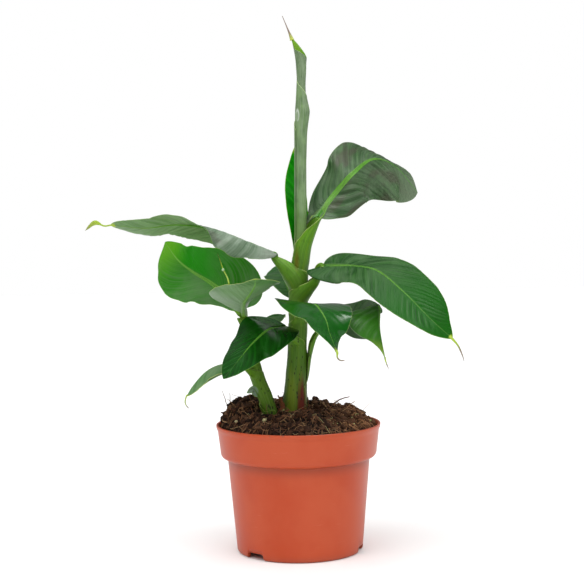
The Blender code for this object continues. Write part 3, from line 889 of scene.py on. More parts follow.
@dataclass(frozen=True)
class Limb:
    """Round pseudostem: its centre line with radii, and the heights where its leaves leave it."""

    name: str
    knots: tuple
    top: tuple
    leaving: tuple              # from the outermost sheath to the innermost

    def line(self) -> tuple[Array, Array]:
        """Return dense centre points and the radii at them, carried on into the limb's top."""
        knots = (*self.knots, *self.top)
        points = smooth_path([point for point, _ in knots], 400)
        heights = np.array([point[2] for point, _ in knots])
        radii = np.interp(points[:, 2], heights, [radius for _, radius in knots])
        return points, smoothed(radii, np.hanning(31))

    def layers_outside(self, height: Array, order: int) -> Array:
        """Count the sheaths that still wrap the limb at a height, among the first few leaves."""
        total = np.zeros_like(height)
        for leaving in self.leaving[:order]:
            total += ease((leaving - height) / PEEL + 0.5)
        return total

    def drape(self, points: Array, order: int, lift: float) -> Array:
        """Push points out to at least a sheath's seat on the limb.

        Args:
            points: Places to move.
            order: Number of the leaf, counted from the outermost.
            lift: Distance to keep above the layers inside.

        Returns:
            Moved places.
        """
        line, radii = self.line()
        flat = points.reshape(-1, 3)
        gaps = np.linalg.norm(flat[:, None] - line[None, ::4], axis=2)
        nearest = np.argmin(gaps, axis=1) * 4
        centre = line[nearest]
        least = radii[nearest] - LAYER * self.layers_outside(centre[:, 2], order + 1) + lift
        along = tangents(line)[nearest]
        away = flat - centre
        away -= along * np.sum(away * along, axis=1, keepdims=True)
        length = np.linalg.norm(away, axis=1)
        inside = (length < least) & (flat[:, 2] < line[-1, 2]) & (length > 1e-6)
        grow = np.where(inside, least / np.maximum(length, 1e-6) - 1.0, 0.0)
        return (flat + away * grow[:, None]).reshape(points.shape)

    def build_core(self, finish: StalkFinish) -> None:
        """Build the innermost column, which the sheaths wrap."""
        line, radii = self.line()
        last = int(np.argmax(line[:, 2] >= self.knots[-1][0][2])) or len(line) - 1
        steps, columns = 70, 36
        path = even_points(line[:last + 1], steps)
        layers = self.layers_outside(path[:, 2], len(self.leaving))
        inner = np.interp(path[:, 2], line[:, 2], radii) - LAYER * layers
        if self.top:            # the column thins inside the foot of the rolled leaf
            inner = inner - 1.6 * ease((path[:, 2] - 200.0) / 10.0)
        rings = rings_along(path, inner, columns, lean=(0, -1, 0))
        angle = circle_angles(columns)
        ring_map = pair(angle[None] * GIRTH, distances(path)[:, None])
        share = pair(0.0 * angle[None], np.linspace(0, 0.3, len(path))[:, None])
        skin = Skin(self.name + "_core")
        add_tube(skin, rings, girth=ring_map, sheath=share)
        finish_piece(skin, Slot.STEM, (finish,), self.name)


# -------- Leaves
NARROWEST = 0.8                 # least half-width of a blade
OUTLINE_BASE = 0.55             # bluntness of a blade's base
OUTLINE_TIP = 0.87              # and of its tip
CURL = 0.5                      # a half bends on by this share of its fold towards the margin
SWEEP = (-0.10, 0.15, 0.30)     # lean of a blade's cross lines to the tip
STRAIGHT_END = 4.0              # the petiole's last stretch runs straight into the blade
STALK_STEPS = 76                # steps along a sheath with its petiole
RIB_STEPS = 60                  # and along the rib that it runs on into
BLADE_STEPS = (40, 130)         # fewest and most steps along a blade
STEPS_PER_MM = 0.95
COLUMNS = np.array([0, 0.016, 0.035, 0.06, 0.09, 0.13, 0.18, 0.24, 0.30, 0.37, 0.44, 0.51, 0.58,
                    0.65, 0.72, 0.79, 0.85, 0.90, 0.94, 0.965, 0.985, 1.0])


@dataclass(frozen=True)
class Half:
    """One side of a blade: its width, where it is widest and how it folds along the leaf."""

    width: float
    peak: float
    fold: tuple
    base: float = 0.0           # share of the width that it starts with
    lobe: float = 0.0           # how far its base reaches back past the rib's start, in millimetres
    brow: float = 0.0           # how high it rises beside the rib, in millimetres
    hinge: float = 0.0          # 1 where the fold only starts at the rib's edge
    tip: float = OUTLINE_TIP

    def outline(self, share: Array) -> Array:
        """Width along the blade, from 0 at the ends to 1 at the peak."""
        rising = np.maximum(0.0, 1 - ((self.peak - share) / self.peak) ** 2) ** OUTLINE_BASE
        falling = np.maximum(0.0, 1 - ((share - self.peak) / (1 - self.peak)) ** 2) ** self.tip
        return np.where(share < self.peak, self.base + (1 - self.base) * rising, falling)


@dataclass(frozen=True)
class Relief:
    """Small shape of a blade, in millimetres."""

    pleat: float = 0.25         # folds along the side veins
    pleat_pitch: float = 7.0
    wave: float = 0.5           # soft waves of the margin
    rag: float = 0.0            # nicks in the margin
    thickness: float = 0.42
    vein_lean: tuple = (0.15, 0.85, 1.25)   # how far the side veins lean to the tip: base, middle, tip


@dataclass(frozen=True)
class Looks:
    """The two sides of a blade, and the skin of the stalk below it."""

    slot: Slot
    upper: BladeFinish
    lower: BladeFinish


@dataclass(frozen=True)
class Leaf:
    """A sheath, the petiole that it turns into and the blade that this carries.

    path is the midrib, facing the way the upper surface looks at even steps along it.
    stalk runs from inside its stem to just short of the midrib's first point.
    """

    name: str
    limb: str
    order: int
    stalk: tuple
    stalk_radii: tuple
    path: tuple
    facing: tuple
    left: Half
    right: Half
    looks: str
    thread: tuple = ()
    thread_radii: tuple = (0.8, 0.35)
    dry: float = 1.0            # how soon the thread turns brown
    foot: float = 40.0          # how far the sheath runs down the stem
    rib: float = 0.0            # half-width of the rib's start, where not the petiole's
    keel: tuple = ()            # way that the sheath's closed side faces, where not away from the stem
    late: float = 1.0           # how late the petiole turns to face with the blade
    wrap: tuple = (172, 150, 100, 82)   # half-angle of the section: at the foot, then from the stem to the blade
    relief: Relief = Relief()
    seed: int = 1

    def midrib(self, count: int) -> tuple[Array, Array, Array, Array]:
        """Return the midrib's points with the way they run, face and reach across."""
        ribs = smooth_path(self.path, count)
        along = tangents(ribs)
        facing = square_to(blend(self.facing, shares(count)), along)
        return ribs, along, facing, np.cross(along, facing)

    def rib_radius(self, share: Array) -> Array:
        """Half-width of the rib along the blade."""
        return (self.rib or self.stalk_radii[-1]) * 0.92 * (1 - share) ** 1.15 + 0.16

    def surface(self, count: int) -> dict[str, Array]:
        """Work out the blade's middle surface.

        Args:
            count: Number of steps along the blade.

        Returns:
            Grids of points, normals and maps, by name.
        """
        ribs, along, facing, across = self.midrib(count)
        share = shares(count)
        travelled = distances(ribs)
        rib = self.rib_radius(share)
        sides = []
        for side, half in ((-1, self.left), (1, self.right)):
            width = np.maximum(half.width * half.outline(share), np.maximum(NARROWEST * (1 - 0.6 * share), rib * 0.9))
            fold = np.radians(blend(half.fold, share))[:, None]
            width = width * (1 - self.relief.rag * self.nicks(travelled, side))
            middle = (COLUMNS[1:] + COLUMNS[:-1]) / 2
            step = np.diff(COLUMNS) * width[:, None]
            past = ease((middle[None] * width[:, None] / rib[:, None] - 0.7) / 0.6)
            angle = fold * (1 + CURL * middle) * (1 - half.hinge * (1 - past))
            out = np.c_[np.zeros(count + 1), np.cumsum(np.cos(angle) * step, axis=1)]
            up = np.c_[np.zeros(count + 1), np.cumsum(np.sin(angle) * step, axis=1)]
            lean = blend(SWEEP, share)[:, None] * out
            rounding = COLUMNS ** 1.5 if not half.base else 2.1 * (COLUMNS ** 1.3 - 0.8 * COLUMNS ** 6)
            lean -= half.lobe * np.exp(-(share / (0.11 if half.base else 0.075)) ** 2)[:, None] * rounding[None]
            points = (ribs[:, None] + across[:, None] * (side * out)[..., None]
                      + facing[:, None] * up[..., None] + along[:, None] * lean[..., None])
            reach = COLUMNS[None] * width[:, None]
            vein = travelled[:, None] - reach * blend(self.relief.vein_lean, share)[:, None]
            raised = half.brow * np.exp(-((reach - 1.5 * rib[:, None] - 2.5) / 3.2) ** 2)
            raised = raised * (1 - ease((share - 0.40) / 0.15))[:, None] * ease(share * 14)[:, None]
            sides.append({
                "points": points, "raised": raised, "reach": side * reach, "vein": vein,
                "margin": width[:, None] - reach, "across": side * np.broadcast_to(COLUMNS, reach.shape)})
        grids = {key: np.concatenate([sides[0][key][:, :0:-1], sides[1][key]], axis=1) for key in sides[0]}
        grids["share"] = np.broadcast_to(share[:, None], grids["reach"].shape)
        grids["rib"] = np.broadcast_to(rib[:, None], grids["reach"].shape)
        return grids

    def nicks(self, travelled: Array, side: int) -> Array:
        """Shares by which a torn margin falls short of its outline."""
        line = travelled[:, None] + 100.0 * side
        coarse = np.maximum(0.0, noise(line, 6.0, self.seed))
        return coarse * 0.05 + np.maximum(0.0, noise(line, 1.7, self.seed + 1)) * 0.03

    def shaped(self, grids: dict[str, Array]) -> tuple[Array, Array]:
        """Add pleats, waves, the rib's channel and thickness to the middle surface.

        Args:
            grids: Grids from surface.

        Returns:
            Points of the upper and of the lower side.
        """
        points = grids["points"]
        relief = self.relief
        inland = ease(np.abs(grids["reach"]) / (grids["rib"] + 4.0))
        ends = ease(grids["share"] * 8) * ease((1 - grids["share"]) * 5)
        veins = pair(grids["reach"] * 0.10 + 50.0 * (grids["reach"] > 0), grids["vein"])
        drift = noise(veins * (1.0, 0.5), 14.0, self.seed)
        pleats = np.sin(2 * np.pi * grids["vein"] / relief.pleat_pitch + 2.2 * drift) * (0.55 + 0.6 * drift)
        pleats = pleats + 0.35 * noise(veins, relief.pleat_pitch * 0.4, self.seed + 5)
        edge = ease(1 - grids["margin"] / 9.0) * ease(np.abs(grids["reach"]) / 6.0)
        line = pair(grids["share"] * 100.0, np.sign(grids["reach"]) * 30.0)
        waves = noise(line, 11.0, self.seed + 9) + 0.5 * noise(line, 5.0, self.seed + 11)
        calm = inland * (0.15 + 0.85 * ease(grids["margin"] / 6.0))
        lift = (relief.pleat * pleats * calm + relief.wave * waves * edge) * ends
        # mask for the painted pleat shading: 1 in the pleats' hollows, 0 on their crests
        grids["valley"] = np.clip(0.5 - 0.5 * pleats * calm * ends, 0, 1)
        points = points + self.normals(points) * (lift + grids["raised"])[..., None]
        normals = self.normals(points)
        across = np.abs(grids["reach"]) / grids["rib"]
        fade = 1 - 0.75 * grids["share"]
        channel = np.where(across < 1, np.cos(np.clip(across, 0, 1) * np.pi / 2) ** 1.5, 0.0)
        shoulder = np.exp(-((across - 1.15) / 0.35) ** 2)
        sunk = grids["rib"] * fade * (-0.55 * channel + 0.16 * shoulder)
        half = relief.thickness / 2 * (0.45 + 0.55 * ease(grids["margin"] / 2.5))
        upper = points + normals * (sunk + half)[..., None]
        lower = points + normals * (sunk * 0.9 - half)[..., None]
        return upper, lower

    @staticmethod
    def normals(points: Array) -> Array:
        """Unit normals of a grid of points, on the side that the upper surface faces."""
        return unit(np.cross(np.gradient(points, axis=1), np.gradient(points, axis=0)))

    def build_blade(self) -> None:
        """Build the blade with its thread and give each side its skin."""
        length = distances(smooth_path(self.path, RIB_STEPS))[-1]
        grids = self.surface(int(np.clip(length * STEPS_PER_MM, *BLADE_STEPS)))
        upper, lower = self.shaped(grids)
        skin = Skin(self.name + "_blade")
        blade = pair(grids["across"] * 0.5 + 0.5, grids["share"])
        veins = pair(grids["reach"] * 0.1, grids["vein"] * 0.1)
        zones = pair(np.abs(grids["reach"]) / grids["rib"], grids["margin"])
        # the sheath map carries the mask of the painted pleat shading and the share along the blade
        sheath = pair(grids["valley"], grids["share"])
        add_shell(skin, upper, lower, (0, 1, 0), blade=blade, veins=veins, zones=zones, sheath=sheath)
        if self.thread:
            self.add_thread(skin)
        looks = LOOKS[self.looks]
        finish_piece(skin, looks.slot, (looks.upper, looks.lower, DRY_TIP), self.name)

    def add_thread(self, skin: Skin) -> None:
        """Carry the tip on as a thin drying thread."""
        ribs, _, facing, _ = self.midrib(40)
        steps, columns = 26, 10
        path = smooth_path([ribs[-2], ribs[-1], *self.thread], steps)
        share = shares(steps)
        radii = blend(self.thread_radii, share) * (0.35 + 0.65 * ease((1.02 - share) * 9))
        rings = rings_along(path, radii, columns, flatten=0.45, lean=tuple(facing[-1]))
        spread = pair(np.zeros((1, columns)), share[:, None] * self.dry)
        add_tube(skin, rings, 2, blade=spread, veins=spread, zones=spread + 5.0, sheath=spread)

    def build_stalk(self, limbs: dict[str, Limb]) -> None:
        """Build the sheath, the petiole and the rib below the blade as one channelled piece."""
        limb = limbs[self.limb]
        line, radii = limb.line()
        leave = self.stalk[0][2]
        foot = max(limb.knots[0][0][2], leave - self.foot)
        wrapped = line[(line[:, 2] >= foot) & (line[:, 2] < leave - 3.0)][::6]
        ribs, along, facing, _ = self.midrib(RIB_STEPS)
        run = np.vstack([wrapped, *self.stalk, ribs[0] - along[0] * STRAIGHT_END, ribs[0]])
        joined = smooth_path(run, STALK_STEPS)
        at_leave = int(np.argmax(joined[:, 2] >= leave - 1.0))
        step = np.arange(STALK_STEPS + 1)
        part = np.where(step <= at_leave, step / max(at_leave, 1),
                        1 + 2 * (step - at_leave) / max(STALK_STEPS - at_leave, 1))
        steps = np.linspace(1, 3, len(self.wrap) - 1)
        half_angle = np.radians(np.interp(part, (0, 0.7, *steps), (self.wrap[0], *self.wrap)))
        outside = limb.layers_outside(joined[:, 2], self.order)
        stem_radius = np.interp(joined[:, 2], line[:, 2], radii) - LAYER * outside
        free = np.interp(part, np.linspace(1, 3, len(self.stalk_radii)), self.stalk_radii)
        peel = ease((part - 0.6) / 0.5)
        radius = stem_radius * (1 - peel) + free * peel
        stem = line[np.argmin(np.abs(line[:, 2] - leave))]
        outward = unit((ribs[0] - stem) * (1, 1, 0))
        if self.keel:
            outward = unit(np.array(self.keel, float))
        turn = ease((part - 1.0) / 2.0)[:, None] ** self.late
        away = unit(outward[None] * (1 - turn) - facing[0][None] * turn)
        wall = np.interp(part, (0, 1, 2, 3), (LAYER, LAYER, 1.1, 0.5 * self.stalk_radii[-1]))
        rib_share = shares(RIB_STEPS)[1:]
        path = np.vstack([joined, ribs[1:] + facing[1:] * 0.12])
        settled = self.rib_radius(rib_share) * (1.05 - 0.25 * rib_share)
        radius = np.concatenate([radius, settled + (radius[-1] - settled) * (1 - ease(rib_share * 12))])
        half_angle = np.concatenate([half_angle, np.radians(blend((self.wrap[-1], 88, 88), rib_share))])
        away = np.vstack([away, -facing[1:]])
        wall = np.concatenate([wall, radius[STALK_STEPS + 1:] * blend((0.62, 0.85, 0.9), rib_share)])
        part = np.concatenate([part / 3 * 0.5, 0.5 + 0.5 * rib_share])
        skin = Skin(self.name.replace("_leaf", "_petiole"))
        add_channel(skin, path, away, radius, half_angle, np.minimum(wall, radius * 0.9), part, limb, self.order)
        nodes = [] if self.name in WITHOUT_CAD_STALK else [self.name.replace("_leaf", "_stalk")]
        finish_piece(skin, Slot.STALK, (SKINS[self.limb],), *nodes)


def add_channel(skin: Skin, path: Array, away: Array, radius: Array, half_angle: Array,
                wall: Array, part: Array, limb: Limb, order: int) -> None:
    """Add a channel-shaped limb whose section opens from a wrapped sheath to a half-round rib.

    Args:
        skin: Skin that receives the channel.
        path: Centre line.
        away: Way from the open side to the closed side, at each point.
        radius: Outer radius at each point.
        half_angle: Half of the section's arc at each point, in radians.
        wall: Thickness in the middle of the section.
        part: Place along the piece, for its map.
        limb: Pseudostem that the sheath lies on.
        order: Number of the leaf, counted from the outermost.
    """
    sides = 22
    along = tangents(path)
    first = square_to(away, along)
    second = np.cross(along, first)
    spread = np.linspace(-1, 1, sides)
    angle = half_angle[:, None] * spread[None]
    thin = wall[:, None] * (1 - 0.72 * np.abs(spread[None]) ** 3)

    def arc(distance: Array) -> Array:
        """Points at a distance from the centre line."""
        return (path[:, None] + first[:, None] * (np.cos(angle) * distance)[..., None]
                + second[:, None] * (np.sin(angle) * distance)[..., None])

    outer = limb.drape(arc(np.broadcast_to(radius[:, None], angle.shape)), order, LAYER)
    inner = limb.drape(arc(radius[:, None] - thin), order, 0.03)
    rings = np.concatenate([outer, inner[:, ::-1]], axis=1)
    travelled = distances(path)
    skin_map = pair(angle * GIRTH, travelled[:, None])
    share = pair(np.abs(spread)[None], part[:, None])
    both = [np.concatenate([values, values[:, ::-1]], axis=1) for values in (skin_map, share)]
    count, columns = rings.shape[:2]
    body = grid_faces(count, columns, wrap=True)
    ladder = np.arange(sides - 1)
    cap = np.stack([ladder + 1, ladder, columns - 1 - ladder, columns - 2 - ladder], axis=-1)
    end = (count - 1) * columns
    skin.add(rings, np.vstack([body, cap, cap[:, ::-1] + end]), 0, girth=both[0], sheath=both[1])


# -------- Finishes of the plant
@functools.cache
def material_of(finish: object) -> bpy.types.Material:
    """Return a finish's material, made once."""
    return finish.build()


SKINS = {
    "main": StalkFinish("main_sheath_skin", foot=(0.082, 0.122, 0.001), low=(0.046, 0.128, 0.002),
                        high=(0.102, 0.30, 0.008), rib=(0.085, 0.32, 0.020)),
    "sucker": StalkFinish("sucker_sheath_skin", foot=(0.058, 0.132, 0.0005), low=(0.066, 0.168, 0.001),
                          high=(0.105, 0.27, 0.006), rib=(0.11, 0.32, 0.035)),
}
DRY_TIP = PlainPlantFinish("dry_tip", start=(0.33, 0.47, 0.03), end=(0.20, 0.15, 0.10), middle=0.45)

LOOKS = {
    "bronzed": Looks(
        Slot.LEAF_GREY,
        BladeFinish("bronzed_upper", (0.016, 0.068, 0.012), (0.050, 0.13, 0.036), bloom=(0.17, 0.22, 0.15),
                    bloom_amount=0.34, blush=(0.068, 0.048, 0.042), blush_amount=0.55, rib=(0.060, 0.23, 0.024),
                    rib_share=0.85, relief=0.30, roughness=0.38, margin=(0.12, 0.22, 0.07), tip_start=0.72,
                    tip=(0.13, 0.18, 0.11), valley_amount=0.5, specular=0.11),
        BladeFinish("bronzed_lower", (0.07, 0.17, 0.04), (0.12, 0.24, 0.07), rib=(0.20, 0.38, 0.08))),
    "grey": Looks(
        Slot.LEAF_GREY,
        BladeFinish("grey_upper", (0.082, 0.155, 0.078), (0.112, 0.19, 0.102), bloom=(0.28, 0.34, 0.27),
                    bloom_amount=0.6, blush=(0.10, 0.085, 0.07), blush_amount=0.4, roughness=0.38,
                    rib=(0.10, 0.14, 0.085), margin=(0.14, 0.28, 0.05), tip_start=0.96, valley_amount=0.08),
        BladeFinish("grey_lower", (0.06, 0.17, 0.03), (0.12, 0.25, 0.075), bloom=(0.16, 0.26, 0.10),
                    bloom_amount=0.45, rib=(0.09, 0.20, 0.015), margin=(0.18, 0.30, 0.10), tip_start=0.97)),
    "green": Looks(
        Slot.LEAF,
        BladeFinish("green_upper", (0.006, 0.055, 0.004), (0.022, 0.10, 0.012), bloom=(0.10, 0.17, 0.085),
                    bloom_amount=0.4, glow=(0.004, 0.090, 0.0005), glow_amount=0.92, glow_middle=0.56, specular=0.05,
                    relief=0.26, margin=(0.13, 0.26, 0.04), rib=(0.05, 0.165, 0.025), tip_start=0.97,
                    rib_share=0.8, valley_amount=0.5),
        BladeFinish("green_lower", (0.05, 0.15, 0.025), (0.085, 0.21, 0.04), rib=(0.17, 0.33, 0.06))),
    "folded": Looks(
        Slot.LEAF,
        BladeFinish("folded_upper", (0.010, 0.075, 0.002), (0.030, 0.125, 0.006), bloom=(0.16, 0.20, 0.15),
                    bloom_amount=0.35, glow=(0.020, 0.120, 0.002), glow_amount=0.9, glow_middle=0.50,
                    # the wide, very dark rib zone is painted shade in the channel between the two folded halves
                    rib=(0.014, 0.075, 0.006), rib_share=1.3, specular=0.12, margin=(0.15, 0.22, 0.11),
                    tip=(0.20, 0.36, 0.012), tip_start=0.80),
        BladeFinish("folded_lower", (0.045, 0.13, 0.03), (0.09, 0.18, 0.06), rib=(0.15, 0.28, 0.07))),
    "pale": Looks(
        Slot.LEAF_GREY,
        BladeFinish("pale_upper", (0.050, 0.17, 0.034), (0.095, 0.24, 0.066), bloom_amount=0.45,
                    bloom=(0.20, 0.28, 0.16)),
        BladeFinish("pale_lower", (0.040, 0.145, 0.022), (0.090, 0.225, 0.055), bloom=(0.165, 0.275, 0.13),
                    bloom_amount=0.55, rib=(0.15, 0.36, 0.06), margin=(0.14, 0.28, 0.07), tip_start=0.97)),
    # backlit leaves: their bright, saturated greens are partly the leaf's own colour and partly painted light shining
    # through the blade
    "bright": Looks(
        Slot.LEAF_BRIGHT,
        BladeFinish("backlit_upper", (0.001, 0.16, 0.0002), (0.005, 0.23, 0.0004), bloom=(0.02, 0.24, 0.002),
                    bloom_amount=0.1, specular=0.03, margin=(0.16, 0.36, 0.02)),
        BladeFinish("backlit_lower", (0.020, 0.145, 0.005), (0.032, 0.19, 0.008), bloom=(0.11, 0.20, 0.085),
                    bloom_amount=0.75, glow=(0.010, 0.22, 0.0003), glow_amount=0.95, glow_middle=0.44, glow_side=0.75,
                    rib=(0.13, 0.34, 0.05), rib_share=1.3, margin=(0.10, 0.30, 0.015), specular=0.05,
                    tip=(0.10, 0.34, 0.008), tip_start=0.70, valley_amount=0.0)),
    "dark": Looks(
        Slot.LEAF_DARK,
        BladeFinish("dark_upper", (0.0006, 0.032, 0.0002), (0.002, 0.062, 0.0003), bloom=(0.015, 0.085, 0.010),
                    bloom_amount=0.2, roughness=0.17, specular=0.30, rib=(0.05, 0.18, 0.012),
                    margin=(0.24, 0.36, 0.10), relief=0.06, glow=(0.0003, 0.10, 0.0002), glow_amount=0.6,
                    glow_middle=0.50, margin_width=0.35, rib_share=0.7),
        BladeFinish("dark_lower", (0.04, 0.12, 0.02), (0.07, 0.17, 0.04), rib=(0.15, 0.28, 0.05))),
    "deep": Looks(
        Slot.LEAF_DARK,
        BladeFinish("deep_upper", (0.0008, 0.030, 0.0003), (0.002, 0.075, 0.0006), bloom=(0.01, 0.10, 0.006),
                    bloom_amount=0.25, roughness=0.17, specular=0.24, rib=(0.022, 0.11, 0.006), rib_share=0.55,
                    tip_start=1.0,
                    margin=(0.12, 0.26, 0.035), relief=0.12, margin_width=0.35),
        BladeFinish("deep_lower", (0.05, 0.10, 0.04), (0.10, 0.13, 0.075), rib=(0.13, 0.23, 0.055))),
}

# -------- The limbs and leaves of this plant
SPEAR_KNOTS = (((4.0, 0, 234.4), 4.2), ((4.2, 0, 253), 4.2), ((4.6, 0, 284), 4.1), ((5.2, 0, 305), 4.4),
               ((6.1, 0, 321), 5.3), ((5.7, 0, 331), 4.0), ((6.1, 0, 347), 3.5), ((6.1, 0, 357), 4.3))

LIMBS = {
    "main": Limb("main_stem", (((-3.5, 0, 92), 10.2), ((-2.8, 0, 103), 9.6), ((-1.5, 0, 122), 8.4),
                               ((0, 0, 142), 7.3), ((0.8, 0, 166), 7.1), ((1.6, 0, 191), 7.1),
                               ((2.6, 0, 206), 6.7), ((4.0, 0, 221), 5.5), ((4.0, 0, 234), 4.2)),
                 SPEAR_KNOTS[1:], (128, 158, 173, 177, 190, 205, 224, 230)),
    "sucker": Limb("sucker_stem", (((-18, -11, 92), 5.2), ((-20, -10, 103), 5.4), ((-24, -9, 115), 5.4),
                                   ((-28, -8, 125), 5.3), ((-32, -7, 138), 5.2), ((-35.5, -6, 152), 4.7),
                                   ((-37.5, -6, 163), 4.0)),
                   (), (112, 132, 149, 157, 162)),
}

